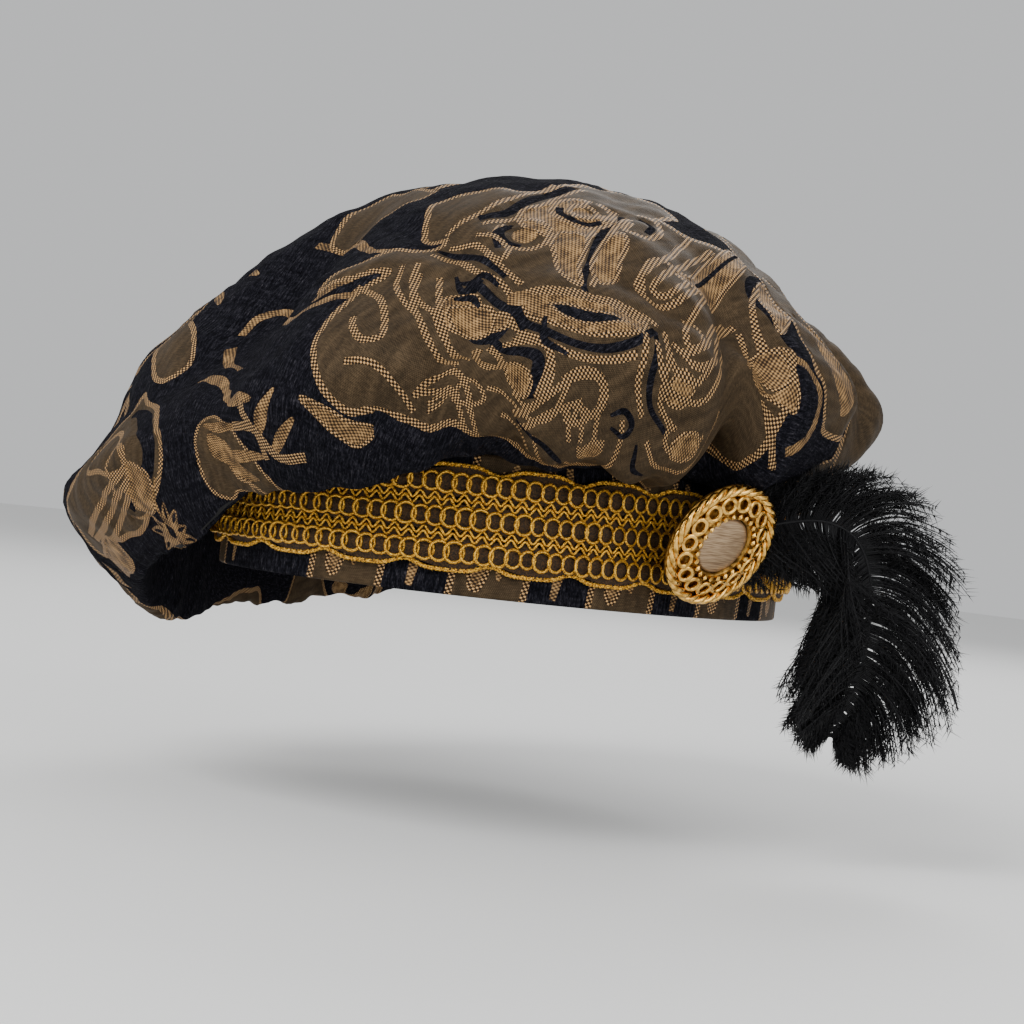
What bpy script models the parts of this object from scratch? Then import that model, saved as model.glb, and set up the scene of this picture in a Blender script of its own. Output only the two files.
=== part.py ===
"""Muffin hat: a puffed brocade crown gathered on a headband, with gold braid, a gilt button and a black plume.

Metres, +Z up. The wearer faces -Y and the wearer's left is +X, where the button and the plume are.
The origin is the centre of the head opening, in the plane of the headband's lower edge.
Headings are in degrees from the front (-Y) round towards the wearer's left (+X).
"""

import math
from collections import namedtuple

import bmesh
import bpy
from mathutils import Matrix, Vector

# Headband: an oval that fits a 57 cm head.
HEAD_HALF_WIDTH = 0.080
HEAD_HALF_LENGTH = 0.100
BAND_HEIGHT = 0.042
BAND_WALL = 0.003
BAND_EDGE_ROUND = 0.0008
BAND_SIDES = 60

# Crown: one cloth circle, gathered on the upper edge of the headband.
CLOTH_WALL = 0.002
SEAM_SIDE_GAP = 0.0003
SEAM_DROP = 0.0004
CROWN_TOP = 0.136
CROWN_SIDES = 80
CROWN_RINGS_A_SPAN = 3
THROAT_SHARE = 0.45
THROAT_DROP = 0.003
CREST_SHARE = 0.50
CREST_RISE = 0.80

# The puff in each direction: its lowest ring, its widest ring and its shoulder.
Puff = namedtuple("Puff", "heading low_radius low_height wide_radius wide_height shoulder_radius shoulder_height")
PUFFS = (
    Puff(0, 0.119, 0.008, 0.138, 0.038, 0.099, 0.087),
    Puff(20, 0.116, 0.026, 0.133, 0.053, 0.100, 0.095),
    Puff(45, 0.111, 0.037, 0.128, 0.066, 0.098, 0.103),
    Puff(80, 0.103, 0.040, 0.121, 0.067, 0.094, 0.103),
    Puff(110, 0.104, 0.047, 0.118, 0.068, 0.092, 0.101),
    Puff(135, 0.107, 0.047, 0.119, 0.066, 0.092, 0.099),
    Puff(180, 0.115, 0.024, 0.129, 0.050, 0.100, 0.095),
    Puff(225, 0.117, 0.002, 0.138, 0.028, 0.103, 0.090),
    Puff(270, 0.110, -0.019, 0.139, 0.012, 0.102, 0.088),
    Puff(300, 0.115, -0.024, 0.147, 0.008, 0.105, 0.089),
    Puff(325, 0.121, -0.016, 0.148, 0.013, 0.104, 0.087),
)

# Main folds: a valley each, between two shares of the way down the crown. It leans as it climbs.
FOLD_RUN_IN = 0.22
FOLD_FADE = 0.72
Fold = namedtuple("Fold", "heading lean width depth start end")
FOLDS = (
    Fold(heading=79, lean=-2, width=6.0, depth=0.0110, start=0.26, end=0.95),
    Fold(heading=98, lean=30, width=7.0, depth=0.0110, start=0.14, end=0.95),
    Fold(heading=126, lean=25, width=9.0, depth=0.0060, start=0.26, end=0.95),
    Fold(heading=60, lean=-10, width=6.5, depth=0.0040, start=0.44, end=0.95),
    Fold(heading=42, lean=-6, width=6.5, depth=0.0095, start=0.34, end=0.95),
    Fold(heading=18, lean=-42, width=10.0, depth=0.0110, start=0.14, end=0.95),
    Fold(heading=152, lean=6, width=9.0, depth=0.0045, start=0.42, end=0.95),
    Fold(heading=178, lean=-6, width=10.0, depth=0.0055, start=0.36, end=0.95),
    Fold(heading=206, lean=5, width=9.0, depth=0.0045, start=0.44, end=0.95),
    Fold(heading=236, lean=-5, width=11.0, depth=0.0060, start=0.38, end=0.95),
    Fold(heading=262, lean=6, width=9.0, depth=0.0045, start=0.46, end=0.95),
    Fold(heading=288, lean=-4, width=10.0, depth=0.0055, start=0.44, end=0.95),
    Fold(heading=322, lean=8, width=8.0, depth=0.0065, start=0.46, end=0.95),
    Fold(heading=346, lean=-6, width=8.0, depth=0.0050, start=0.44, end=0.95),
)

# A slack roll lies along the wearer's front right: a dent above it, part of the way down.
ROLL_HEADING = 312
ROLL_WIDTH = 42
ROLL_DEPTH = 0.0120
ROLL_PLACE = 0.444
ROLL_SPREAD = 0.034

# Small gathers where the crown is sewn on.
GATHERS = 18
GATHER_DEPTH = 0.0014
GATHER_START = 0.66
GATHER_FULL = 0.93
GATHER_FADE = 0.97

# Braid: three raised rows with a row of gaps between each two, and scalloped edges.
BRAID_MIDDLE = 0.0225
BRAID_HALF_WIDTH = 0.0150
BRAID_WALL = 0.0012
BRAID_GAP = 0.0005
BRAID_REPEATS = 48
BRAID_ROW_SPACING = 0.0100
BRAID_ROW_RISE = 0.0012
GAP_LENGTH = 0.0032
GAP_INNER = 0.0036
GAP_OUTER = 0.0064
SCALLOP_DEPTH = 0.0022

# Button: a cast gilt frame with a rope rim, a ring of loops and a ring of beads, round a plain centre.
BUTTON_RADIUS = 0.0200
BUTTON_HEADING = 84
BUTTON_HEIGHT = 0.0240
BUTTON_TIP_DOWN = 25
BUTTON_REACH = 0.0165
BUTTON_COLUMNS = 60
ROPE_TURNS = 30
LOOPS = 15
BEADS = 20
POCKET_RADIUS = 0.0093
POCKET_FLOOR = 0.0008
CENTRE_RADIUS = 0.0090
CENTRE_EDGE = 0.0025
CENTRE_DOME = 0.0030
CENTRE_SIDES = 30
PART_GAP = 0.0003
FRAME_BACK = -0.0010
SHANK_RADIUS = 0.0028
SHANK_SIDES = 16

# Plume: a quill that leaves the back of the button, rises a little and arcs down behind it.
QUILL_ROUTE = (
    (0.0930, -0.0083, 0.0245),
    (0.0955, 0.0040, 0.0280),
    (0.1030, 0.0150, 0.0325),
    (0.1110, 0.0250, 0.0340),
    (0.1170, 0.0340, 0.0285),
    (0.1195, 0.0400, 0.0130),
    (0.1185, 0.0410, -0.0100),
    (0.1120, 0.0380, -0.0330),
)
VANE_FACE = (1.0, -0.55, 0.0)

# The vane's half widths and half thickness at shares of the quill's length.
Vane = namedtuple("Vane", "share upper lower thick")
VANES = (
    Vane(0.00, 0.0022, 0.0022, 0.0016),
    Vane(0.14, 0.0036, 0.0036, 0.0020),
    Vane(0.27, 0.0070, 0.0090, 0.0050),
    Vane(0.41, 0.0110, 0.0145, 0.0080),
    Vane(0.56, 0.0240, 0.0180, 0.0090),
    Vane(0.70, 0.0270, 0.0250, 0.0090),
    Vane(0.84, 0.0220, 0.0290, 0.0080),
    Vane(0.95, 0.0140, 0.0180, 0.0050),
    Vane(1.00, 0.0040, 0.0040, 0.0020),
)
LOCKS = 15
ROWS_A_LOCK = 3
LOCK_NOTCH = 0.42
LOCK_BLUNTNESS = 0.6
LOCK_RIDGE = 0.25
LOCK_SWEEP = 0.55
LOCK_DROOP = 9.0
VANE_COLUMNS = 10


def clear_scene():
    for old in list(bpy.data.objects):
        bpy.data.objects.remove(old)


def make_material(name, colour, roughness, metallic):
    material = bpy.data.materials.new(name)
    material.use_nodes = True
    shader = material.node_tree.nodes["Principled BSDF"]
    shader.inputs["Base Color"].default_value = (*colour, 1.0)
    shader.inputs["Roughness"].default_value = roughness
    shader.inputs["Metallic"].default_value = metallic
    return material


def smooth_step(low, high, value):
    share = min(1.0, max(0.0, (value - low) / (high - low)))
    return share * share * (3.0 - 2.0 * share)


def turn_between(heading, centre):
    """The signed angle in degrees from centre to heading, the short way round."""
    return (heading - centre + 180.0) % 360.0 - 180.0


def slope_at(before, here, after, span_before, span_after):
    """The slope of a smooth curve at one of its points, from the points on either side."""
    first = (here - before) * (span_after / span_before)
    second = (after - here) * (span_before / span_after)
    return (first + second) / (span_before + span_after)


def hermite(start, end, start_slope, end_slope, span, share):
    """A value between start and end, a span apart, that leaves and arrives with the given slopes."""
    squared = share * share
    cubed = squared * share
    return (
        start * (2.0 * cubed - 3.0 * squared + 1.0)
        + start_slope * (span * (cubed - 2.0 * squared + share))
        + end * (3.0 * squared - 2.0 * cubed)
        + end_slope * (span * (cubed - squared))
    )


def through_points(points, share):
    """A point on the smooth curve through points. Each span between two of them takes an equal share."""
    spans = len(points) - 1
    place = min(spans - 1e-9, max(0.0, share * spans))
    index = int(place)
    gaps = [(b - a).length for a, b in zip(points, points[1:])]

    def slope(i):
        if i == 0:
            return (points[1] - points[0]) / gaps[0]
        if i == spans:
            return (points[spans] - points[spans - 1]) / gaps[-1]
        return slope_at(points[i - 1], points[i], points[i + 1], gaps[i - 1], gaps[i])

    return hermite(
        points[index], points[index + 1], slope(index), slope(index + 1), gaps[index], place - index
    )


def oval_point(heading, offset, height):
    """A point outside the head's oval by offset."""
    angle = math.radians(heading)
    return Vector((
        (HEAD_HALF_WIDTH + offset) * math.sin(angle),
        -(HEAD_HALF_LENGTH + offset) * math.cos(angle),
        height,
    ))


def oval_outward(heading):
    angle = math.radians(heading)
    return Vector((math.sin(angle) / HEAD_HALF_WIDTH, -math.cos(angle) / HEAD_HALF_LENGTH, 0.0)).normalized()


def even_headings(offset, shares):
    """Headings at the given shares of the way round the oval, measured along it."""
    fine = 1440
    points = [oval_point(360.0 * i / fine, offset, 0.0) for i in range(fine + 1)]
    lengths = [0.0]
    for a, b in zip(points, points[1:]):
        lengths.append(lengths[-1] + (b - a).length)
    headings = []
    index = 0
    for share in shares:
        target = share * lengths[-1]
        while lengths[index + 1] < target:
            index += 1
        part = (target - lengths[index]) / (lengths[index + 1] - lengths[index])
        headings.append(360.0 * (index + part) / fine)
    return headings, lengths[-1]


def grid_object(name, columns, rows, place, wrap_rows=False, keep=None):
    """A closed ring of columns by rows cells: a grid bent into place, with its doubled edge merged."""
    mesh = bmesh.new()
    bmesh.ops.create_grid(mesh, x_segments=columns, y_segments=rows, size=0.5)
    if keep:
        unwanted = []
        for face in mesh.faces:
            middle = face.calc_center_median()
            column = int((middle.x + 0.5) * columns)
            row = int((middle.y + 0.5) * rows)
            if not keep(column, row):
                unwanted.append(face)
        bmesh.ops.delete(mesh, geom=unwanted, context="FACES")
    for vert in mesh.verts:
        column = round((vert.co.x + 0.5) * columns) % columns
        row = round((vert.co.y + 0.5) * rows)
        if wrap_rows:
            row %= rows
        vert.co = place(column, row)
    bmesh.ops.remove_doubles(mesh, verts=mesh.verts, dist=1e-6)
    mesh.normal_update()
    bmesh.ops.recalc_face_normals(mesh, faces=mesh.faces)
    data = bpy.data.meshes.new(name)
    mesh.to_mesh(data)
    mesh.free()
    return bpy.data.objects.new(name, data)


def finish(hat_object, collection, material, crease_degrees=35.0):
    collection.objects.link(hat_object)
    hat_object.data.materials.append(material)
    hat_object.data.shade_smooth()
    hat_object.data.set_sharp_from_angle(angle=math.radians(crease_degrees))
    return hat_object


def add_wall(hat_object, thickness, offset):
    wall = hat_object.modifiers.new("wall", "SOLIDIFY")
    wall.thickness = thickness
    wall.offset = offset


def puff_at(heading):
    """The puff's six measures in a direction, blended smoothly round the table."""
    count = len(PUFFS)
    index = max(i for i, row in enumerate(PUFFS) if row.heading <= heading % 360.0)
    rows = [PUFFS[(index + step) % count] for step in (-1, 0, 1, 2)]
    spans = [(b.heading - a.heading) % 360.0 for a, b in zip(rows, rows[1:])]
    share = (heading % 360.0 - rows[1].heading) / spans[1]
    measures = []
    for before, start, end, after in list(zip(*rows))[1:]:
        start_slope = slope_at(before, start, end, spans[0], spans[1])
        end_slope = slope_at(start, end, after, spans[1], spans[2])
        measures.append(hermite(start, end, start_slope, end_slope, spans[1], share))
    return measures


def meridian(heading):
    """Radius and height down the crown in one direction, from its top to its seam."""
    low_radius, low_height, wide_radius, wide_height, shoulder_radius, shoulder_height = puff_at(heading)
    seam = oval_point(heading, BAND_WALL + SEAM_SIDE_GAP, BAND_HEIGHT - SEAM_DROP)
    seam_radius = math.hypot(seam.x, seam.y)
    crest_height = shoulder_height + CREST_RISE * (CROWN_TOP - shoulder_height)
    throat_radius = seam_radius + THROAT_SHARE * (low_radius - seam_radius)
    return [
        Vector((0.0, CROWN_TOP)),
        Vector((CREST_SHARE * shoulder_radius, crest_height)),
        Vector((shoulder_radius, shoulder_height)),
        Vector((wide_radius, wide_height)),
        Vector((low_radius, low_height)),
        Vector((throat_radius, max(low_height, seam.z - THROAT_DROP))),
        Vector((seam_radius, seam.z)),
    ]


def fold_depth(heading, share):
    """How far the folds, the roll and the gathers draw the cloth in at one place."""
    depth = 0.0
    for fold in FOLDS:
        centre = fold.heading + fold.lean * (1.0 - share)
        across = turn_between(heading, centre) / fold.width
        reach = smooth_step(fold.start, fold.start + FOLD_RUN_IN, share)
        reach *= 1.0 - smooth_step(FOLD_FADE, fold.end, share)
        depth += fold.depth * reach * math.exp(-across * across)
    round_roll = turn_between(heading, ROLL_HEADING) / ROLL_WIDTH
    down_roll = (share - ROLL_PLACE) / ROLL_SPREAD
    depth += ROLL_DEPTH * math.exp(-round_roll**4) * math.exp(-down_roll * down_roll)
    gather = smooth_step(GATHER_START, GATHER_FULL, share) * (1.0 - smooth_step(GATHER_FADE, 1.0, share))
    depth += GATHER_DEPTH * gather * math.cos(math.radians(GATHERS * heading))
    return depth


def crown_point(heading, share):
    """A point on the crown's outer face, with its folds."""
    curve = meridian(heading)
    flat = through_points(curve, share)
    if share <= 0.0:
        return Vector((0.0, 0.0, flat.y))
    step = 0.004
    tangent = through_points(curve, min(1.0, share + step)) - through_points(curve, share - step)
    inward = Vector((tangent.y, -tangent.x)).normalized()
    moved = flat + inward * fold_depth(heading, share)
    angle = math.radians(heading)
    return Vector((moved.x * math.sin(angle), -moved.x * math.cos(angle), moved.y))


def build_crown(collection, material):
    rings = CROWN_RINGS_A_SPAN * (len(meridian(0.0)) - 1)

    def place(column, row):
        return crown_point(360.0 * column / CROWN_SIDES, 1.0 - row / rings)

    crown = grid_object("crown", CROWN_SIDES, rings, place)
    add_wall(crown, CLOTH_WALL, -1.0)
    return finish(crown, collection, material, 60.0)


def build_headband(collection, material):
    edge = BAND_EDGE_ROUND
    section = [
        (0.0, edge),
        (edge, 0.0),
        (BAND_WALL - edge, 0.0),
        (BAND_WALL, edge),
        (BAND_WALL, BAND_HEIGHT - edge),
        (BAND_WALL - edge, BAND_HEIGHT),
        (edge, BAND_HEIGHT),
        (0.0, BAND_HEIGHT - edge),
    ]

    def place(column, row):
        offset, height = section[row]
        return oval_point(360.0 * column / BAND_SIDES, offset, height)

    band = grid_object("headband", BAND_SIDES, len(section), place, wrap_rows=True)
    return finish(band, collection, material)


def build_braid(collection, material):
    """A strip round the headband with open cells between its rows. Its columns are narrow at a gap, wide between."""
    offset = BAND_WALL + BRAID_GAP
    _, length = even_headings(offset, [0.0])
    gap_share = GAP_LENGTH / length
    shares = []
    for repeat in range(BRAID_REPEATS):
        start = repeat / BRAID_REPEATS
        shares += [start, start + gap_share]
    headings, _ = even_headings(offset, shares)
    edge = BRAID_HALF_WIDTH
    rises = [
        (-edge, 0.0),
        (-BRAID_ROW_SPACING, BRAID_ROW_RISE),
        (-GAP_OUTER, 0.0),
        (-GAP_INNER, 0.0),
        (0.0, BRAID_ROW_RISE),
        (GAP_INNER, 0.0),
        (GAP_OUTER, 0.0),
        (BRAID_ROW_SPACING, BRAID_ROW_RISE),
        (edge, 0.0),
    ]
    gap_rows = (2, 5)

    def place(column, row):
        across, rise = rises[row]
        repeat = column // 2
        if row in (0, len(rises) - 1) and repeat % 2 == 0:
            across -= math.copysign(SCALLOP_DEPTH, across)
        return oval_point(headings[column], offset + rise, BRAID_MIDDLE + across)

    def keep(column, row):
        return not (column % 2 == 0 and row in gap_rows)

    braid = grid_object("braid", 2 * BRAID_REPEATS, len(rises) - 1, place, keep=keep)
    add_wall(braid, BRAID_WALL, 1.0)
    return finish(braid, collection, material)


def button_matrix():
    """The button's own frame: its face looks along local +Z, which points out of the hat and downwards."""
    outward = oval_outward(BUTTON_HEADING)
    tip = math.radians(BUTTON_TIP_DOWN)
    normal = outward * math.cos(tip) - Vector((0.0, 0.0, 1.0)) * math.sin(tip)
    upward = (Vector((0.0, 0.0, 1.0)) - normal * normal.z).normalized()
    sideways = upward.cross(normal)
    centre = oval_point(BUTTON_HEADING, BAND_WALL, BUTTON_HEIGHT) + outward * BUTTON_REACH
    turned = Matrix((sideways, upward, normal)).transposed().to_4x4()
    return Matrix.Translation(centre) @ turned


def build_button_frame(collection, material):
    """The relief is worked out in rings, from the pocket in the middle out to the rim and in again at the back."""
    Ring = namedtuple("Ring", "radius height count lift reach")
    rings = (
        Ring(0.0, POCKET_FLOOR, 0, 0.0, 0.0),
        Ring(POCKET_RADIUS, POCKET_FLOOR, 0, 0.0, 0.0),
        Ring(POCKET_RADIUS, 0.0031, 0, 0.0, 0.0),
        Ring(0.0104, 0.0036, BEADS, 0.0005, 0.0),
        Ring(0.0116, 0.0022, 0, 0.0, 0.0),
        Ring(0.0126, 0.0029, LOOPS, 0.0004, 0.0),
        Ring(0.0143, 0.0025, LOOPS, -0.0007, 0.0),
        Ring(0.0160, 0.0029, LOOPS, 0.0004, 0.0),
        Ring(0.0171, 0.0018, 0, 0.0, 0.0),
        Ring(0.0186, 0.0030, ROPE_TURNS, 0.0004, 0.0),
        Ring(BUTTON_RADIUS - 0.0003, 0.0014, ROPE_TURNS, 0.0, 0.0003),
        Ring(0.0192, -0.0006, 0, 0.0, 0.0),
        Ring(0.0, FRAME_BACK, 0, 0.0, 0.0),
    )

    def place(column, row):
        ring = rings[row]
        angle = 2.0 * math.pi * column / BUTTON_COLUMNS
        wave = math.cos(ring.count * angle)
        radius = ring.radius + ring.reach * wave
        return Vector((radius * math.cos(angle), radius * math.sin(angle), ring.height + ring.lift * wave))

    frame = grid_object("button_frame", BUTTON_COLUMNS, len(rings) - 1, place)
    frame.matrix_world = button_matrix()
    return finish(frame, collection, material, 50.0)


def build_button_centre(collection, material):
    """A turned disc, a little domed, that lies in the frame's pocket."""
    profile = (
        (0.0, CENTRE_DOME),
        (0.60 * CENTRE_RADIUS, 0.5 * (CENTRE_DOME + CENTRE_EDGE)),
        (0.94 * CENTRE_RADIUS, CENTRE_EDGE),
        (CENTRE_RADIUS, CENTRE_EDGE - 0.0004),
        (CENTRE_RADIUS, POCKET_FLOOR + PART_GAP),
        (0.0, POCKET_FLOOR + PART_GAP),
    )
    data = bpy.data.meshes.new("button_centre")
    points = [(radius, 0.0, height) for radius, height in profile]
    data.from_pydata(points, [(i, i + 1) for i in range(len(points) - 1)], [])
    centre = bpy.data.objects.new("button_centre", data)
    centre.matrix_world = button_matrix()
    turn = centre.modifiers.new("turn", "SCREW")
    turn.steps = CENTRE_SIDES
    turn.render_steps = CENTRE_SIDES
    turn.use_merge_vertices = True
    turn.merge_threshold = 0.00001
    return finish(centre, collection, material)


def build_button_shank(collection, material):
    """A plain post from the braid to the button's back. Its outer end is cut to the button's slope."""
    outward = oval_outward(BUTTON_HEADING)
    placed = button_matrix()
    normal = placed.col[2].xyz
    back_point = placed @ Vector((0.0, 0.0, FRAME_BACK - PART_GAP))
    braid_face = BAND_WALL + BRAID_GAP + BRAID_WALL + BRAID_ROW_RISE + PART_GAP
    foot = oval_point(BUTTON_HEADING, braid_face, back_point.z)
    mesh = bmesh.new()
    bmesh.ops.create_cone(
        mesh, cap_ends=True, segments=SHANK_SIDES, radius1=SHANK_RADIUS, radius2=SHANK_RADIUS, depth=1.0
    )
    sideways = Vector((0.0, 0.0, 1.0)).cross(outward)
    for vert in mesh.verts:
        on_foot = foot + sideways * vert.co.x + Vector((0.0, 0.0, vert.co.y))
        if vert.co.z > 0.0:
            reach = (back_point - on_foot).dot(normal) / outward.dot(normal)
            vert.co = on_foot + outward * reach
        else:
            vert.co = on_foot
    mesh.normal_update()
    bmesh.ops.recalc_face_normals(mesh, faces=mesh.faces)
    data = bpy.data.meshes.new("button_shank")
    mesh.to_mesh(data)
    mesh.free()
    return finish(bpy.data.objects.new("button_shank", data), collection, material)


def quill_point(share):
    return through_points([Vector(p) for p in QUILL_ROUTE], share)


def quill_frame(share):
    """The quill's place, its direction, the vane's upper side and the vane's outer face."""
    step = 0.01
    along = (quill_point(min(1.0, share + step)) - quill_point(max(0.0, share - step))).normalized()
    outer = Vector(VANE_FACE)
    outer = (outer - along * outer.dot(along)).normalized()
    return quill_point(share), along, outer.cross(along), outer


def vane_at(share):
    """The vane's upper and lower half widths and its half thickness."""
    after = next(i for i, row in enumerate(VANES) if row.share >= share and i)
    before = VANES[after - 1]
    part = smooth_step(before.share, VANES[after].share, share)
    return [a + (b - a) * part for a, b in zip(before[1:], VANES[after][1:])]


def lock_reach(locks_passed):
    """How far a lock stands out along the vane's edge: each one swells slowly and ends at a notch."""
    part = locks_passed % 1.0
    return 1.0 - LOCK_NOTCH * (1.0 - math.sin(0.5 * math.pi * part) ** LOCK_BLUNTNESS)


def plume_point(column, row, rows):
    """A point on the plume: an oval round the quill whose edges are drawn out in locks swept to the tip."""
    share = row / rows
    if row in (0, rows):
        return quill_point(share)
    place, along, upper, outer = quill_frame(share)
    up_width, low_width, thick = vane_at(share)
    angle = 2.0 * math.pi * column / VANE_COLUMNS
    side = math.cos(angle)
    width = up_width if side > 0.0 else low_width
    stagger = 0.0 if side > 0.0 else 0.5
    reach = width * abs(side) * lock_reach(row / ROWS_A_LOCK + stagger)
    sideways = upper * math.copysign(reach, side)
    ridge = thick * math.sin(angle) * (1.0 - LOCK_RIDGE + LOCK_RIDGE * lock_reach(row / ROWS_A_LOCK))
    sag = Vector((0.0, 0.0, LOCK_DROOP * reach * reach))
    return place + sideways + outer * ridge + along * (LOCK_SWEEP * reach) - sag


def build_plume(collection, material):
    """The locks of both sides and the quill are one closed body."""
    rows = LOCKS * ROWS_A_LOCK

    def place(column, row):
        return plume_point(column, row, rows)

    return finish(grid_object("plume", VANE_COLUMNS, rows, place), collection, material, 80.0)


def main():
    clear_scene()
    hat = bpy.data.collections.new("muffin_hat")
    bpy.context.scene.collection.children.link(hat)
    brocade = make_material("brocade", (0.060, 0.045, 0.035), 0.75, 0.0)
    band_brocade = make_material("band_brocade", (0.055, 0.042, 0.034), 0.75, 0.0)
    gold_braid = make_material("gold_braid", (0.52, 0.30, 0.05), 0.45, 0.6)
    gilt = make_material("gilt", (0.80, 0.55, 0.20), 0.30, 0.9)
    centre_disc = make_material("centre_disc", (0.33, 0.22, 0.13), 0.45, 0.5)
    dull_metal = make_material("dull_metal", (0.40, 0.28, 0.12), 0.45, 0.8)
    black_plume = make_material("black_plume", (0.010, 0.011, 0.013), 0.60, 0.0)
    build_crown(hat, brocade)
    build_headband(hat, band_brocade)
    build_braid(hat, gold_braid)
    build_button_frame(hat, gilt)
    build_button_centre(hat, centre_disc)
    build_button_shank(hat, dull_metal)
    build_plume(hat, black_plume)


main()
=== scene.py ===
# %% [markdown]
# # A muffin hat in figured brocade
# The hat is a puffed crown of brocade, gathered on an oval headband, with a gold gimp braid round it,
# a gilt button on the wearer's left and a black ostrich plume behind the button.
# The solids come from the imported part. This script dresses them: cloth, braid, metal and feather.

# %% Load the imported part
import math

import bmesh
import bpy
import numpy as np
from mathutils import Matrix, Vector
from mathutils.geometry import delaunay_2d_cdt
from mathutils.kdtree import KDTree


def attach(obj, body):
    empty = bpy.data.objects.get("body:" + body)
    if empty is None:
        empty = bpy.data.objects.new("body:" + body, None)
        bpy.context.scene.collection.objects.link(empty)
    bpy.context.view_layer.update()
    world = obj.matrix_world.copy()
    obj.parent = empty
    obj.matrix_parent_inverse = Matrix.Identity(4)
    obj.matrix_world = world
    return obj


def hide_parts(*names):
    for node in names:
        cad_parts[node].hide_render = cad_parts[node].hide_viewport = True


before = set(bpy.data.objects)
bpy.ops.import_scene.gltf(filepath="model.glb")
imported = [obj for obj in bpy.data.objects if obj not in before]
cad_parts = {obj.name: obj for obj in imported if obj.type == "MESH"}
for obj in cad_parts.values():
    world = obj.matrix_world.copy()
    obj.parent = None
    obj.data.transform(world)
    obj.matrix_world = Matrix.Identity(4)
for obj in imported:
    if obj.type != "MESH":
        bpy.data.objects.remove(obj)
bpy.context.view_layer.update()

# %% [markdown]
# The camera looks from the wearer's front left, nearly level with the crown, and the hat leans a little in
# the picture. It is set first. A camera can be aimed by hand, but a few named measures are easier to put
# right: turn, rise, lean and scale.

# %% Camera
CAMERA_HEADING = 45.0
CAMERA_RISE = 2.0
CAMERA_ROLL = 6.5
CAMERA_DISTANCE = 0.65
SENSOR_MM = 36.0
FRAME_PIXELS = 1024.0
PIXELS_A_MM = 2.95
HAT_IN_FRAME = (505.0, 590.0)


def place_camera():
    """Looks at the origin from the wearer's front left; the shift puts the origin at one pixel of the frame."""
    heading, rise = math.radians(CAMERA_HEADING), math.radians(CAMERA_RISE)
    away = Vector((
        math.sin(heading) * math.cos(rise),
        -math.cos(heading) * math.cos(rise),
        math.sin(rise),
    ))
    right = Vector((math.cos(heading), math.sin(heading), 0.0))
    turn = Matrix((right, away.cross(right), away)).transposed().to_4x4()
    lens = bpy.data.cameras.new("hat_camera")
    lens.sensor_width = SENSOR_MM
    lens.lens = SENSOR_MM * CAMERA_DISTANCE * 1000.0 * PIXELS_A_MM / FRAME_PIXELS
    lens.shift_x = (FRAME_PIXELS / 2 - HAT_IN_FRAME[0]) / FRAME_PIXELS
    lens.shift_y = -(FRAME_PIXELS / 2 - HAT_IN_FRAME[1]) / FRAME_PIXELS
    lens.clip_start = 0.01
    camera = bpy.data.objects.new("hat_camera", lens)
    camera.matrix_world = (
        Matrix.Translation(away * CAMERA_DISTANCE)
        @ turn
        @ Matrix.Rotation(math.radians(CAMERA_ROLL), 4, "Z")
    )
    bpy.context.scene.collection.objects.link(camera)
    bpy.context.scene.camera = camera
    print("camera:", round(lens.lens, 1), "mm lens,", CAMERA_DISTANCE, "m from the headband's middle")


place_camera()

# %% [markdown]
# The crown is one circle of cloth. Its shape in each direction is a smooth line through a few measured
# points: the top, the shoulder, the widest ring, the lowest ring and the seam. Folds are valleys that
# lean as they climb. Working the shape out from such a table keeps it the same as the solid part,
# and lets the cloth be much finer than the solid.

# %% The crown's measures
HEAD_HALF_WIDTH = 0.080
HEAD_HALF_LENGTH = 0.100
BAND_HEIGHT = 0.042
BAND_WALL = 0.003
SEAM_SIDE_GAP = 0.0003
SEAM_DROP = 0.0004
CROWN_TOP = 0.136
PUFFS = np.array([
    # heading, low radius and height, wide radius and height, shoulder radius and height
    (0, 0.119, 0.008, 0.138, 0.038, 0.099, 0.087),
    (20, 0.116, 0.026, 0.133, 0.053, 0.100, 0.095),
    (45, 0.111, 0.037, 0.128, 0.066, 0.098, 0.103),
    (80, 0.103, 0.040, 0.121, 0.067, 0.094, 0.103),
    (110, 0.104, 0.047, 0.118, 0.068, 0.092, 0.101),
    (135, 0.107, 0.047, 0.119, 0.066, 0.092, 0.099),
    (180, 0.115, 0.024, 0.129, 0.050, 0.100, 0.095),
    (225, 0.117, 0.002, 0.138, 0.028, 0.103, 0.090),
    (270, 0.110, -0.019, 0.139, 0.012, 0.102, 0.088),
    (300, 0.115, -0.024, 0.147, 0.008, 0.105, 0.089),
    (325, 0.121, -0.016, 0.148, 0.013, 0.104, 0.087),
])
FOLDS = (
    # heading, lean, width, depth, start, end
    (79, -2, 6.0, 0.0110, 0.26, 0.95),
    (98, 30, 7.0, 0.0110, 0.14, 0.95),
    (126, 25, 9.0, 0.0060, 0.26, 0.95),
    (60, -10, 6.5, 0.0040, 0.44, 0.95),
    (42, -6, 6.5, 0.0095, 0.34, 0.95),
    (18, -42, 10.0, 0.0110, 0.14, 0.95),
    (152, 6, 9.0, 0.0045, 0.42, 0.95),
    (178, -6, 10.0, 0.0055, 0.36, 0.95),
    (206, 5, 9.0, 0.0045, 0.44, 0.95),
    (236, -5, 11.0, 0.0060, 0.38, 0.95),
    (262, 6, 9.0, 0.0045, 0.46, 0.95),
    (288, -4, 10.0, 0.0055, 0.44, 0.95),
    (322, 8, 8.0, 0.0065, 0.46, 0.95),
    (346, -6, 8.0, 0.0050, 0.44, 0.95),
)


def smooth_step(low, high, value):
    """Rises softly from 0 at low to 1 at high."""
    share = np.clip((value - low) / (high - low), 0.0, 1.0)
    return share * share * (3.0 - 2.0 * share)


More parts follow.
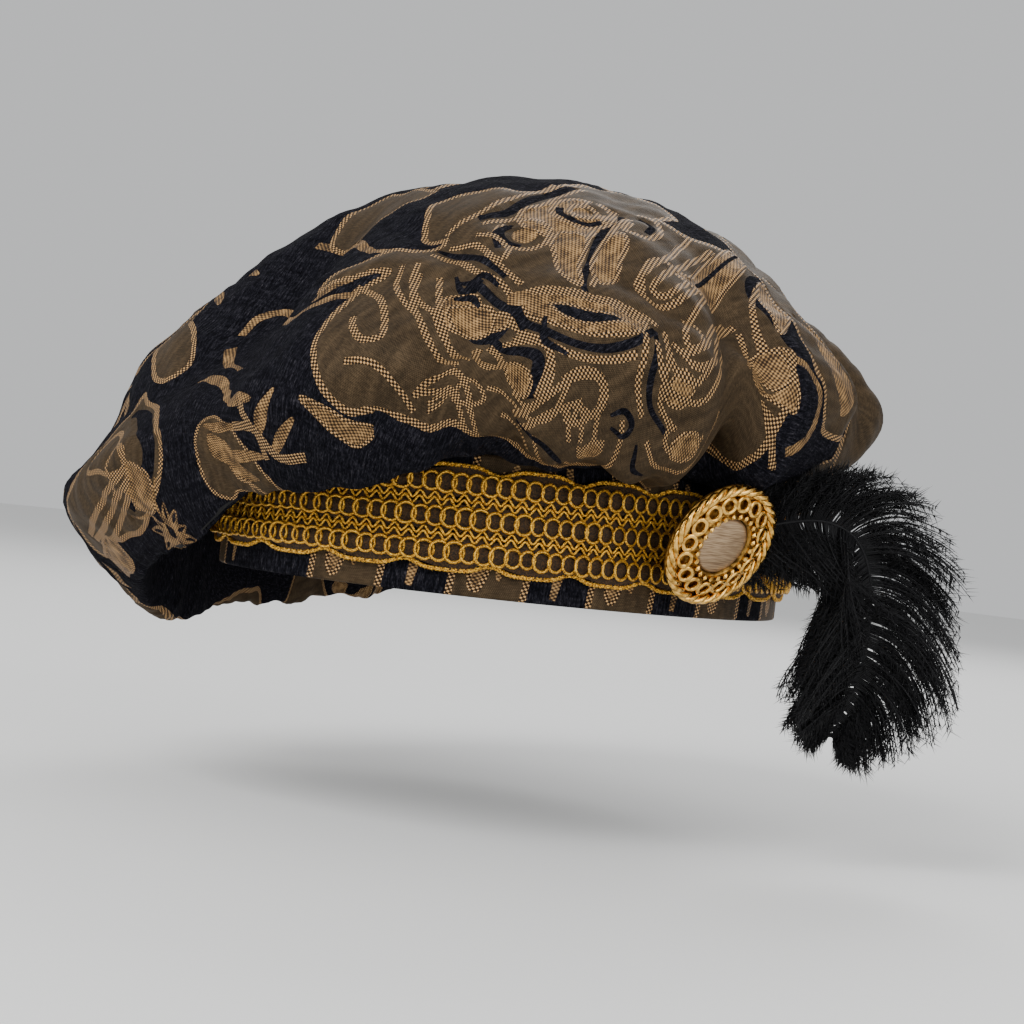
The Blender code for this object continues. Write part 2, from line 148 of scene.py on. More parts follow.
def turn_between(heading, centre):
    """The degrees from centre to heading, the short way round."""
    return (heading - centre + 180.0) % 360.0 - 180.0


def slope_at(before, here, after, span_before, span_after):
    """The slope of a smooth line at the middle one of three points."""
    first = (here - before) * (span_after / span_before)
    second = (after - here) * (span_before / span_after)
    return (first + second) / (span_before + span_after)


def cubic_between(start, end, start_slope, end_slope, span, share):
    """A place on the cubic curve between two points with a slope at each."""
    squared = share * share
    cubed = squared * share
    return (
        start * (2.0 * cubed - 3.0 * squared + 1.0)
        + start_slope * (span * (cubed - 2.0 * squared + share))
        + end * (3.0 * squared - 2.0 * cubed)
        + end_slope * (span * (cubed - squared))
    )


def oval_xy(heading, offset):
    """The place at a heading on the headband's oval, moved out by offset."""
    angle = np.radians(heading)
    return (HEAD_HALF_WIDTH + offset) * np.sin(angle), -(HEAD_HALF_LENGTH + offset) * np.cos(angle)


def puff_at(heading):
    """The puff's six measures in each of many directions."""
    heading = np.asarray(heading, float) % 360.0
    count = len(PUFFS)
    index = np.searchsorted(PUFFS[:, 0], heading, side="right") - 1
    rows = [PUFFS[(index + step) % count] for step in (-1, 0, 1, 2)]
    spans = [((b[:, 0] - a[:, 0]) % 360.0)[:, None] for a, b in zip(rows, rows[1:])]
    share = (heading - rows[1][:, 0])[:, None] / spans[1]
    before, start, end, after = (row[:, 1:] for row in rows)
    start_slope = slope_at(before, start, end, spans[0], spans[1])
    end_slope = slope_at(start, end, after, spans[1], spans[2])
    return cubic_between(start, end, start_slope, end_slope, spans[1], share)


def meridian(heading):
    """Seven points (radius, height) down the crown in each direction: an array of headings by 7 by 2."""
    low_r, low_h, wide_r, wide_h, shoulder_r, shoulder_h = puff_at(heading).T
    seam_x, seam_y = oval_xy(heading, BAND_WALL + SEAM_SIDE_GAP)
    seam_r, seam_h = np.hypot(seam_x, seam_y), np.full_like(low_r, BAND_HEIGHT - SEAM_DROP)
    zero = np.zeros_like(low_r)
    return np.stack([
        np.stack([zero, zero + CROWN_TOP], 1),
        np.stack([0.5 * shoulder_r, shoulder_h + 0.8 * (CROWN_TOP - shoulder_h)], 1),
        np.stack([shoulder_r, shoulder_h], 1),
        np.stack([wide_r, wide_h], 1),
        np.stack([low_r, low_h], 1),
        np.stack([seam_r + 0.45 * (low_r - seam_r), np.maximum(low_h, seam_h - 0.003)], 1),
        np.stack([seam_r, seam_h], 1),
    ], 1)


def along_meridian(curve, share):
    """The point at a share of the way down each curve."""
    spans = curve.shape[1] - 1
    gaps = np.linalg.norm(np.diff(curve, axis=1), axis=2)[:, :, None]
    slopes = np.empty_like(curve)
    slopes[:, 0] = (curve[:, 1] - curve[:, 0]) / gaps[:, 0]
    slopes[:, -1] = (curve[:, -1] - curve[:, -2]) / gaps[:, -1]
    slopes[:, 1:-1] = slope_at(curve[:, :-2], curve[:, 1:-1], curve[:, 2:], gaps[:, :-1], gaps[:, 1:])
    place = np.clip(share * spans, 0.0, spans - 1e-9)
    index = place.astype(int)
    row = np.arange(len(curve))
    part = (place - index)[:, None]
    start, end = curve[row, index], curve[row, index + 1]
    start_slope, end_slope = slopes[row, index], slopes[row, index + 1]
    return cubic_between(start, end, start_slope, end_slope, gaps[row, index], part)


print("crown: measured in", len(PUFFS), "directions, with", len(FOLDS), "main folds")

# %% [markdown]
# Cloth that is drawn together creases in two ways: wide folds that run down to the seam, and short
# creases where it is pinched. The short ones are straight lines on the flat cloth, each a ridge or,
# with a negative height, a groove. They are given in millimetres on the flat cloth, measured from the top.

# %% Folds, creases and the slack roll
CREASES = (
    # from x, y, to x, y, width, height
    (112, -84, 140, -62, 6.0, 3.2),
    (98, -66, 132, -44, 5.0, -2.4),
    (60, -100, 96, -118, 6.0, -2.6),
    (86, -124, 110, -150, 7.0, -4.2),
    (52, -140, 96, -136, 8.0, 2.6),
    (20, -86, 62, -96, 6.0, -2.6),
    (6, -120, 44, -110, 7.0, 2.2),
    (-20, -150, 30, -150, 7.0, -2.4),
    (-60, -176, -20, -168, 8.0, 2.2),
    (96, 30, 150, 44, 7.0, -2.6),
    (84, 56, 140, 78, 7.0, 2.4),
    (40, 128, 64, 160, 7.0, -2.4),
    (-70, 128, -96, 150, 7.0, -2.2),
    (-120, 40, -160, 60, 7.0, -2.4),
    (-110, -30, -150, -40, 8.0, 2.4),
    (-90, -100, -120, -130, 8.0, -2.6),
)
SMALL_FOLDS = (
    # heading, lean, width, depth, start, end
    (79, -3, 3.2, 0.0060, 0.30, 0.97),
    (89, -5, 5.0, -0.0040, 0.30, 0.95),
    (98, 27, 3.6, 0.0050, 0.18, 0.97),
    (71, -4, 4.0, -0.0030, 0.34, 0.95),
    (49, -14, 3.6, 0.0046, 0.46, 0.97),
    (46, -2, 3.2, -0.0030, 0.58, 0.97),
    (39, -9, 2.8, 0.0040, 0.54, 0.97),
    (57, -6, 3.0, 0.0034, 0.52, 0.97),
    (64, -10, 3.4, -0.0024, 0.48, 0.97),
    (70, -8, 2.6, 0.0024, 0.50, 0.97),
    (88, 10, 2.6, 0.0022, 0.46, 0.97),
    (109, 22, 3.0, 0.0030, 0.40, 0.97),
    (118, 18, 2.4, 0.0022, 0.52, 0.97),
    (52, -8, 2.4, 0.0020, 0.52, 0.97),
    (33, -10, 2.8, 0.0014, 0.48, 0.97),
    (9, -20, 3.0, 0.0016, 0.46, 0.97),
    (140, 10, 3.0, 0.0026, 0.50, 0.97),
    (166, 4, 3.0, 0.0024, 0.50, 0.97),
    (192, -4, 3.0, 0.0026, 0.50, 0.97),
    (221, 4, 3.0, 0.0024, 0.50, 0.97),
    (249, -3, 3.0, 0.0026, 0.50, 0.97),
    (275, 4, 3.0, 0.0024, 0.52, 0.97),
    (305, -4, 3.0, 0.0026, 0.52, 0.97),
    (334, 5, 3.0, 0.0026, 0.52, 0.97),
)


ROLL_HEADING, ROLL_HALF_TURN = 312.0, 42.0
ROLL_SHARE, ROLL_SPREAD, ROLL_DEPTH = 0.444, 0.034, 0.0120
GATHERS_ROUND, GATHER_DEPTH = 18.0, 0.0014
PUCKERS_ROUND, PUCKER_DEPTH = 54.0, 0.0006
SWAYS = (
    # depth, times round, degrees down the crown, start
    (0.0009, 7.0, 420.0, 0.0),
    (0.0006, 13.0, -760.0, 60.0),
)
DIMPLE_HEIGHT, RIPPLE_HEIGHT = 0.00045, 0.00040


def valley(heading, share, fold):
    """One fold's own depth: deepest along its leaning line, and running out at both ends."""
    centre_heading, lean, width, depth, start, end = fold
    across = turn_between(heading, centre_heading + lean * (1.0 - share)) / width
    reach = smooth_step(start, start + 0.22, share) * (1.0 - smooth_step(0.72, end, share))
    return depth * reach * np.exp(-across * across)


def fold_depth(heading, share):
    """How far folds, roll, gathers and wrinkles press the cloth inwards, in metres."""
    depth = np.zeros_like(heading)
    for fold in FOLDS + SMALL_FOLDS:
        depth += valley(heading, share, fold)
    round_roll = turn_between(heading, ROLL_HEADING) / ROLL_HALF_TURN
    down_roll = (share - ROLL_SHARE) / ROLL_SPREAD
    depth += ROLL_DEPTH * np.exp(-round_roll**4) * np.exp(-down_roll * down_roll)
    gather = smooth_step(0.66, 0.93, share) * (1.0 - smooth_step(0.97, 1.0, share))
    depth += GATHER_DEPTH * gather * np.cos(np.radians(GATHERS_ROUND * heading))
    uneven = 40.0 * np.sin(np.radians(5.0 * heading))
    depth += PUCKER_DEPTH * gather * np.cos(np.radians(PUCKERS_ROUND * heading + uneven))
    sway = smooth_step(0.10, 0.40, share) * (1.0 - smooth_step(0.80, 1.0, share))
    for height, turns, climb, start in SWAYS:
        depth += height * sway * np.sin(np.radians(turns * heading + climb * share + start))
    return depth


def crease_height(flat_xy):
    """How far the short creases lift points of the flat cloth (in millimetres), in metres."""
    x, y = flat_xy.T / 1000.0
    across, down = x * 330 + 2.0 * np.sin(y * 95), y * 260 + 1.5 * np.sin(x * 120 + 1.0)
    lift = DIMPLE_HEIGHT * np.sin(across) * np.sin(down)
    lift += RIPPLE_HEIGHT * np.sin((x + y) * 170 + 1.2 * np.sin((x - y) * 110))
    for x0, y0, x1, y1, width, height in CREASES:
        start, along = np.array((x0, y0)), np.array((x1 - x0, y1 - y0))
        length = np.hypot(*along)
        reach = (flat_xy - start) @ along / length**2
        off = np.abs((flat_xy - start) @ np.array((-along[1], along[0])) / length) / width
        ends = np.exp(-((np.abs(reach - 0.5) * 1.9) ** 4))
        lift += 0.001 * height * ends * np.exp(-off * off)
    return lift


print("creases:", len(CREASES), "short ones and", len(SMALL_FOLDS), "small folds")

# %% [markdown]
# A fold presses the cloth inwards, at right angles to the smooth puff. Near the crown's low edge the puff is
# a narrow bag whose two walls would cross there, so each goes in only a little and then straight up.

# %% Press the folds into the puff
LOW_EDGE = 0.66
ROOM_AT_EDGE = 0.0015
ROOM_GAINED_OUTSIDE, ROOM_GAINED_UNDER = 0.042, 0.026
SLOPE_STEP = 0.004


def crown_points(heading, share, depth, inward_by=0.0):
    """Points of the crown, each pressed inwards from the smooth puff by its own depth."""
    curve = meridian(heading)
    smooth = along_meridian(curve, share)
    ahead, behind = np.minimum(1.0, share + SLOPE_STEP), np.maximum(0.0, share - SLOPE_STEP)
    tangent = along_meridian(curve, ahead) - along_meridian(curve, behind)
    inward = np.stack([tangent[:, 1], -tangent[:, 0]], 1)
    inward /= np.maximum(np.linalg.norm(inward, axis=1), 1e-12)[:, None]
    gained = np.where(share > LOW_EDGE, ROOM_GAINED_UNDER, ROOM_GAINED_OUTSIDE)
    room = ROOM_AT_EDGE + np.abs(share - LOW_EDGE) * gained
    pressed = np.maximum(depth, 0.0)
    held = pressed / (1.0 + (pressed / room) ** 4) ** 0.25
    moved = smooth + inward * (depth - pressed + held + inward_by)[:, None]
    moved[:, 1] += pressed - held
    moved[:, 0] = np.where(share > 0.0, moved[:, 0], 0.0)
    angle = np.radians(heading)
    return np.stack([moved[:, 0] * np.sin(angle), -moved[:, 0] * np.cos(angle), moved[:, 1]], 1)


side_folds = fold_depth(np.arange(0.0, 360.0), np.full(360, 0.6))
print("folds at the crown's side: up to", round(1000.0 * side_folds.max(), 1), "mm deep")

# %% [markdown]
# The pattern is woven in the flat cloth, so it is drawn flat: x and y in millimetres from the top of the
# crown, y towards the back. A flat point's distance from the top is the distance down the cloth, and its
# direction is its heading. This table turns one into the other.

# %% From the flat cloth to the crown
STEPS_DOWN = 300
TABLE_HEADINGS = np.arange(0.0, 361.0, 1.0)


def reach_tables():
    """For each heading: the cloth's length from top to seam, and the share of the way down at even lengths."""
    shares = np.linspace(0.0, 1.0, STEPS_DOWN + 1)
    curve = meridian(TABLE_HEADINGS)
    points = np.stack([along_meridian(curve, np.full(len(curve), share)) for share in shares], 1)
    lengths = np.concatenate(
        [np.zeros((len(curve), 1)), np.cumsum(np.linalg.norm(np.diff(points, axis=1), axis=2), axis=1)], 1
    )
    seam = lengths[:, -1]
    even = np.linspace(0.0, 1.0, STEPS_DOWN + 1)
    down = np.stack([np.interp(even * total, row, shares) for row, total in zip(lengths, seam)])
    return 1000.0 * seam, down


SEAM_REACH, SHARE_DOWN = reach_tables()
print("cloth from top to seam:", round(SEAM_REACH.min()), "to", round(SEAM_REACH.max()), "mm")


def seam_reach(heading):
    """How far from the top the seam lies on the flat cloth, in millimetres."""
    return np.interp(heading % 360.0, TABLE_HEADINGS, SEAM_REACH)


def place_of(flat_xy):
    """The heading of each point of the flat cloth, and its share of the way down the crown."""
    heading = np.degrees(np.arctan2(flat_xy[:, 0], -flat_xy[:, 1])) % 360.0
    reach = np.clip(np.hypot(flat_xy[:, 0], flat_xy[:, 1]) / seam_reach(heading), 0.0, 1.0)
    column = np.minimum(heading.astype(int), 359)
    row = np.minimum((reach * STEPS_DOWN).astype(int), STEPS_DOWN - 1)
    across, down = heading - column, reach * STEPS_DOWN - row
    near = SHARE_DOWN[column, row] * (1 - across) + SHARE_DOWN[column + 1, row] * across
    far = SHARE_DOWN[column, row + 1] * (1 - across) + SHARE_DOWN[column + 1, row + 1] * across
    return heading, near * (1 - down) + far * down


def cloth_depth(flat_xy):
    """How far folds and creases together press the flat cloth's points inwards, in metres."""
    heading, share = place_of(flat_xy)
    return fold_depth(heading, share) - crease_height(flat_xy) * (1.0 - smooth_step(0.80, 0.98, share))


def on_crown(flat_xy, inward_by=0.0):
    """Where points of the flat cloth, in millimetres, lie on the crown, in metres."""
    return crown_points(*place_of(flat_xy), cloth_depth(flat_xy), inward_by)


# %% [markdown]
# The woven figure is baroque strapwork: bands, volutes, leaves and sprigs in bronze satin and gold twill on
# a black chenille pile. Each piece of it is drawn as a person would draw it: a band is a line through a few
# points with a width at each, and an area is an outline through a few points, written x, y, x, y. A point
# given twice is a sharp corner. Later pieces lie over earlier ones.

# %% A drawing kit for woven figures
PILE, SATIN, GOLD, THREAD = CLOTHS = ("pile", "satin", "gold", "thread")
FIGURE_STEP = 1.2
THIN_CORD, THIN_CORD_GAIN = 2.5, 1.5


def smooth_run(points, closed):
    """A finely stepped smooth line through points. Close points turn it tightly, without loops between them."""
    points = np.asarray(points, float)
    if closed:
        points = np.vstack([points[-1:], points, points[:2]])
    else:
        points = np.vstack([2 * points[0] - points[1], points, 2 * points[-1] - points[-2]])
    run = []
    for a, b, c, d in zip(points, points[1:], points[2:], points[3:]):
        ab, bc, cd = (max(1e-3, np.linalg.norm((q - p)[:2])) ** 0.5 for p, q in ((a, b), (b, c), (c, d)))
        slope_b = bc * ((b - a) / ab - (c - a) / (ab + bc) + (c - b) / bc)
        slope_c = bc * ((c - b) / bc - (d - b) / (bc + cd) + (d - c) / cd)
        steps = max(1, int(math.ceil(np.linalg.norm((c - b)[:2]) / FIGURE_STEP)))
        for step in range(steps):
            t = step / steps
            run.append(cubic_between(b, c, slope_b, slope_c, 1.0, t))
    if not closed:
        run.append(points[-2])
    return np.array(run)


def smooth_outline(points):
    """A closed outline, smooth apart from where a point is given twice."""
    points = [tuple(p) for p in points]
    corners = [i for i, p in enumerate(points) if p == points[(i + 1) % len(points)]]
    if not corners:
        return smooth_run(points, True)
    start = corners[0] + 1
    turned = points[start:] + points[:start]
    runs, run = [], [turned[0]]
    for p in turned[1:] + [turned[0]]:
        if p == run[-1] and len(run) > 1:
            runs.append(run)
            run = [p]
        else:
            run.append(p)
    if len(run) > 1:
        runs.append(run)
    return np.vstack([smooth_run(run, False)[:-1] for run in runs])


def ribbon(points, widths):
    """The outline of a band along points. Its width changes evenly from one given width to the next."""
    points = np.asarray(points, float)
    widths = np.interp(np.linspace(0, 1, len(points)), np.linspace(0, 1, len(widths)), widths)
    run = smooth_run(np.column_stack([points, widths]), False)
    line, half = run[:, :2], 0.5 * np.maximum(run[:, 2], 0.3)
    along = np.gradient(line, axis=0)
    along /= np.maximum(np.linalg.norm(along, axis=1), 1e-9)[:, None]
    left = np.column_stack([-along[:, 1], along[:, 0]]) * half[:, None]
    return np.vstack([line + left, (line - left)[::-1]])


class Figure:
    """The pieces of a woven figure, in the order in which they lie over each other."""

    def __init__(self):
        self.pieces = []

    def add(self, cloth, outline):
        self.pieces.append((cloth, np.asarray(outline, float)))

    def cord_width(self, width):
        """Thin cords are drawn half as wide again, as the woven ones are."""
        return np.where(np.asarray(width) < THIN_CORD, np.asarray(width) * THIN_CORD_GAIN, width)

    def area(self, cloth, *points, edging=0.0):
        """A filled outline, with a cord along its edge if edging gives the cord's width."""
        outline = smooth_outline(np.reshape(points, (-1, 2)))
        edging = float(self.cord_width(edging))
        self.add(cloth, outline)
        if edging:
            self.edge(THREAD, outline, edging)

    def edge(self, cloth, outline, width):
        """A cord all along an outline."""
        loop = np.vstack([outline, outline[:1]])
        along = np.roll(outline, -1, 0) - np.roll(outline, 1, 0)
        along /= np.maximum(np.linalg.norm(along, axis=1), 1e-9)[:, None]
        left = np.column_stack([-along[:, 1], along[:, 0]]) * width / 2
        left = np.vstack([left, left[:1]])
        self.add(cloth, np.vstack([loop + left, (loop - left)[::-1]]))

    def band(self, cloth, widths, *points, edging=0.0):
        """A line through points with a width at each, with a cord along both sides if edging is given."""
        widths, points = np.atleast_1d(widths).astype(float), np.reshape(points, (-1, 2))
        if cloth == THREAD:
            widths = self.cord_width(widths)
        if edging:
            self.add(THREAD, ribbon(points, widths))
            inner = np.maximum(widths - 2 * edging, 0.2)
            if widths.max() > 2 * edging:
                self.add(cloth, ribbon(points, inner))
        else:
            self.add(cloth, ribbon(points, widths))

    def leaf(self, cloth, x0, y0, x1, y1, width, edging=0.0):
        """A pointed leaf from its root to its tip, widest at two fifths."""
        root, tip = np.array((x0, y0), float), np.array((x1, y1), float)
        along = tip - root
        side = np.array((-along[1], along[0])) / max(np.hypot(*along), 1e-9)
        shape = ((0.0, 0.25), (0.2, 0.8), (0.42, 1.0), (0.7, 0.75), (1.0, 0.15))
        left = [root + along * t + side * width / 2 * w for t, w in shape]
        right = [root + along * t - side * width / 2 * w for t, w in reversed(shape)]
        self.area(cloth, *left, *right, edging=edging)

    def ring(self, cloth, x, y, radius, width, start=0.0, turn=360.0, inwards=0.0):
        """An arc or a spiral, from a start angle through a turn. It closes in by a share of its radius."""
        steps = max(4, int(abs(turn) / 30))
        angles = np.radians(np.linspace(start, start + turn, steps))
        radii = radius * (1.0 - inwards * np.linspace(0, 1, steps))
        self.band(cloth, width, np.column_stack([x + radii * np.cos(angles), y + radii * np.sin(angles)]))

    def repeat(self, pieces, turn, from_xy, to_xy, mirrored=False, size=1.0):
        """A copy of pieces, turned about from_xy and moved to to_xy, as a woven pattern repeats."""
        angle = math.radians(turn)
        rotate = size * np.array(((math.cos(angle), -math.sin(angle)), (math.sin(angle), math.cos(angle))))
        for cloth, outline in list(pieces):
            moved = outline - np.array(from_xy)
            if mirrored:
                moved = moved * np.array((-1.0, 1.0))
            self.add(cloth, moved @ rotate.T + np.array(to_xy))


sample = Figure()
sample.leaf(GOLD, 0, 0, 0, 10, 4)
print("a leaf 10 mm long is drawn with", len(sample.pieces[0][1]), "points")

# %% [markdown]
# The first part of the figure is the strapwork on the crown's top and back: a volute whose band forks in
# two and crosses to a second fork, a rosette, a bud, leaves and sprigs.

# %% The figure on the top
top = Figure()
top.band(
    SATIN, [6.5, 6.5, 7, 7.5, 7.5, 6], -42, 91, -45.5, 79, -43, 68, -37, 58.5, -28, 52.5, -12, 50,
    edging=1.3,
)
top.band(THREAD, [4.2, 3, 2.2, 2, 1.6, 1.4], -42, 91, -36, 97, -27, 99, -21, 95, -21, 89, -26, 87)
top.band(THREAD, [2.4, 2.4, 1.4], -30, 72, -36, 75, -36, 83, -32, 88, -27.5, 89.5)
top.band(GOLD, [1.4, 4.5, 5, 4, 2.6, 2], -35, 76, -27, 71, -17, 74.5, -8, 77, 2, 83, 10, 88.5, 19, 90)
top.leaf(GOLD, -12, 76, -13, 87, 5)
top.area(GOLD, -1.5, 95, 2, 93, 4.5, 90, 4.5, 90, 8, 94, 11.5, 97.5, 12, 92, 9, 87.5, 4, 86, 0.5, 90)
top.band(
    THREAD, 1.2, -68, 71, -62, 72.5, -58, 77, -56, 84, -53, 92, -48, 99, -40, 104, -30, 105, -20, 103,
    -14, 97, -13, 88.5, -17, 84, -24, 83, -27.5, 86, -27.5, 90,
)
top.band(THREAD, 1.2, -76, 78, -75, 82, -71, 82, -70, 78.5, -65, 76.5, -60, 80)
top.band(THREAD, [3.6], -17, 47, -15, 38.5, -10.5, 31.5, -3, 26.5, 4, 23, 12, 18.5, 20, 13.5, 27, 9.5)
top.band(SATIN, [1.2], -16, 46, -14, 38, -10, 31.2, -3, 26.5, 4, 23, 12, 18.5, 20, 13.5)
top.band(THREAD, [3.6], -9, 49, -6, 41.5, 0, 35, 9, 29, 17, 23.5, 26, 19.5, 36, 18, 41, 18)
top.band(SATIN, [1.2], -8.5, 48, -6, 41.5, 0, 35, 9, 29, 17, 23.5, 26, 19.5, 36, 18)
top.band(THREAD, [4.2, 4.2, 4], 29, 10, 19, 2.5, 11.5, -5.5, 4, -13, -1, -21, -4.5, -30, -7, -39, -8, -52)
top.band(SATIN, [1.6], 26, 8, 19, 2.5, 11.5, -5.5, 4, -13, -1, -21, -4.5, -30, -7, -39, -8, -52)
top.band(THREAD, [1.6, 3, 3.2], 42, 7, 34, 3.5, 26, -1, 18, -8, 10, -17, 5, -27, 2, -38, 1, -54)
top.area(
    SATIN, -24, -50, -24, -50, -11, -51.5, 0, -55, 4, -56, 4, -56, 4, -64, -2, -76, -12, -84, -25, -82,
    -28, -66, edging=1.2,
)
top.area(
    GOLD, 27, 10.5, 35, 10, 40, 10.5, 46, 8, 49.5, 6.5, 49.5, 6.5, 47, 11, 46, 14.5, 50, 20.5, 46, 22,
    41, 25, 41, 25, 42, 20.5, 37, 19.5, 39, 15, 36, 12,
)
top.area(GOLD, 49, 11.5, 55, 18.5, 51, 24, 51, 24, 57, 22, 60, 18, 62.5, 11.5, 59, 8.5, 53, 8.5)
for x0, y0, x1, y1, width in (
    (12.5, 40.5, 17, 31, 4), (18.5, 46.5, 20.5, 41, 3.6), (31.5, 37.5, 19, 37.5, 3.4),
    (25, 31, 20, 31.5, 2.8),
    (27.5, 50.5, 27, 41.5, 4.2), (40.5, 50, 29, 45.5, 2.8), (32, 42, 29.5, 44, 2.6),
    (24.5, -9.5, 23, -18.5, 3.2), (30, -9, 31, -20, 3.4), (41.5, -9.5, 32, -10.5, 4.4),
    (31, -10, 33.5, -4, 3.2),
    (54, 42.5, 62, 37.5, 4), (61, 48.5, 71, 41, 3.6), (60, 37, 69, 33, 3.2), (70, 33.5, 80, 31.5, 3),
    (-35, 33, -35, 24, 3.4), (-29, 28.5, -31, 17.5, 4.4), (-20, 20, -28, 18, 3.2),
    (-23, 9.5, -30, 8, 4.2), (-21, -6, -30, -6.5, 4.2), (-31, -11.5, -38, -10.5, 3.8),
    (-18, -11, -26, -16, 4.6),
    (-26, -24, -27, -15, 4), (-8, 15, -12.5, 9, 3.2), (-4, 7, -11, 6, 4.8), (-12.5, 9, -11, -1, 3.2),
    (-3, -2.5, -10, -1, 3.4),
    (-49, 37, -53, 21, 6.5), (-40, -27.5, -46, -12, 6.5),
):
    top.leaf(GOLD, x0, y0, x1, y1, width)
top.band(THREAD, 1.3, 18, 26, 18, 33, 22, 39, 27, 43)
top.band(THREAD, 1.3, 21, -9, 31, -9, 36, -10)
top.band(THREAD, 1.3, 57, 40, 67, 36.5, 80, 32)
top.band(THREAD, 1.3, -32, 20, -28.5, 14, -22, 12.5, -18, 7, -18.5, 1, -22, -2, -30, 0.5)
top.area(
    GOLD, -50, -0.5, -48.5, 6.5, -44, 12, -42, 14, -42, 14, -39, 10.5, -35.5, 10, -35, 5.5, -27.5, 1,
    -27.5, 1, -32, -4, -39, -8.5, -45.5, -6, -49, -3, edging=1.0,
)
top.band(GOLD, 1.4, -57, 1.5, -49, 9, -45, 18, -40, 24)
top.band(GOLD, 1.4, -57, 0.5, -48, -4, -43, -11)


def from_rosette(angle, reach):
    return -61 + reach * math.cos(angle), 1.5 + reach * math.sin(angle)


for turn, length, width in (
    (92, 21, 5.6), (118, 19, 5.4), (141, 21, 5.6), (62, 19, 5.2), (35, 12, 4.4), (184, 9, 4.6),
    (222, 19, 5.6), (252, 13, 5.2), (285, 14, 5.4), (318, 13, 4.8),
):
    angle = math.radians(turn)
    top.leaf(GOLD, *from_rosette(angle, 2.5), *from_rosette(angle, length), width)
    top.leaf(PILE, *from_rosette(angle, 0.45 * length), *from_rosette(angle, 0.9 * length), width * 0.34)
print("pieces on the top:", len(top.pieces))

# %% [markdown]
# The back carries a cartouche with a scalloped edge, three long leaves, two tassels and a bronze field with
# a scroll edge. The groups are drawn from the largest to the smallest, because a later piece covers
# an earlier one.

# %% The figure on the back
back = Figure()
back.area(
    SATIN, -88, 178, -86, 155, -84, 141, -81, 130, -75, 121.5, -71, 112, -71, 112, -66, 112, -60, 110.5,
    -60, 110.5,
    -57, 114.5, -50, 116.3, -44, 114, -41, 109.5, -41, 109.5, -38, 112.5, -36, 119, -36, 119, -33, 117,
    -31, 111.5, -31, 111.5,
    -24, 111.5, -17, 110, -17, 110, -14, 115.5, -8, 118.3, -3, 116.5, 0, 110.5, 0, 110.5, 3, 113.8,
    9, 115.3, 14, 113,
    16.5, 110, 16.5, 110, 18, 117, 22, 124, 30, 133, 40, 139, 56, 145, 60, 182, edging=1.4,
)
back.band(
    PILE, [1, 3, 3.2, 3.4, 4.5, 7, 9, 9], -63, 127.5, -50, 127, -35, 126.8, -20, 129.5, -6, 136, 3, 142,
    9, 152, 11, 180,
)
for shift in (3.0, -3.2):
    back.band(
        THREAD, 1.4, (-70, 131 + shift * 0.3), (-50, 127 + shift), (-35, 126.8 + shift),
        (-20, 129.5 + shift), (-7, 136 + shift),
    )
back.band(THREAD, 1.5, -1, 136, 6, 138.5, 12, 135.5, 14, 129, 11.5, 125.5, 9, 128)
back.band(THREAD, 1.4, -72, 135, -62, 131.5, -45, 131.5, -33, 135, -22, 142, -13, 151, -9, 165)
for run in (
    (
        -28, 143, -29, 139.5, -35, 135, -41, 137.5, -43, 143, -40, 148.5, -35, 149.5, -31, 146.5,
        -33.5, 143, -37, 144,
    ),
    (-47, 140, -48.5, 135, -54, 132.5, -59, 135, -63.5, 138.5, -68, 135.5, -73, 138),
    (-47, 140, -48, 144, -53, 147, -57, 143.5, -54, 140, -51, 142),
    (-63, 143, -62, 149, -67, 153.5, -73, 151, -74, 145, -69, 142.5, -67, 147),
    (-12, 160, -15, 150, -23, 141, -34, 131.5, -46, 130),
    (-24, 152, -24, 144, -28, 136.5, -38, 132),
    (-56, 127, -64, 127, -71, 131, -77, 137, -79, 150, -79, 170),
    (18, 144, 18, 155, 27, 172),
    (30, 139, 28, 143, 24, 147, 19, 148),
    (-42, 176, -46, 166, -58, 160, -70, 166, -74, 178),
):
    back.band(THREAD, 1.3, *run)
for run in (
    (-29, 142, -31, 139, -35, 138, -39, 140, -40, 143),
    (-49, 137, -53, 135.5, -58, 138, -62, 142.5, -64, 140, -68, 138.5, -72, 141),
    (-18, 158, -27, 153.5, -33, 155.5, -39, 162, -49, 172),
):
    back.band(PILE, [1.2, 3.0, 3.0, 1.6], *run)
back.area(
    GOLD, -39, 157, -44, 153, -47, 148.5, -50, 152, -55.5, 158, -57, 168, -52, 170, -44, 163, edging=0.8,
)
back.area(GOLD, 2, 149.5, -3, 145, -8, 147, -9, 152, -5, 156, -1, 154)
back.area(GOLD, -3, 121, 2, 123, 4.5, 127, 2, 131, -3, 134, -1, 128.5)
back.band(PILE, [1.2, 4, 6, 5], 16, 128, 15, 134, 10, 138.5, 2, 139)
print("pieces on the back so far:", len(back.pieces))

# %% [markdown]
# Outside the cartouche two long gold leaves rise on one side. Small hooks, a pair of round tassels and a
# curled band join it to the next group.

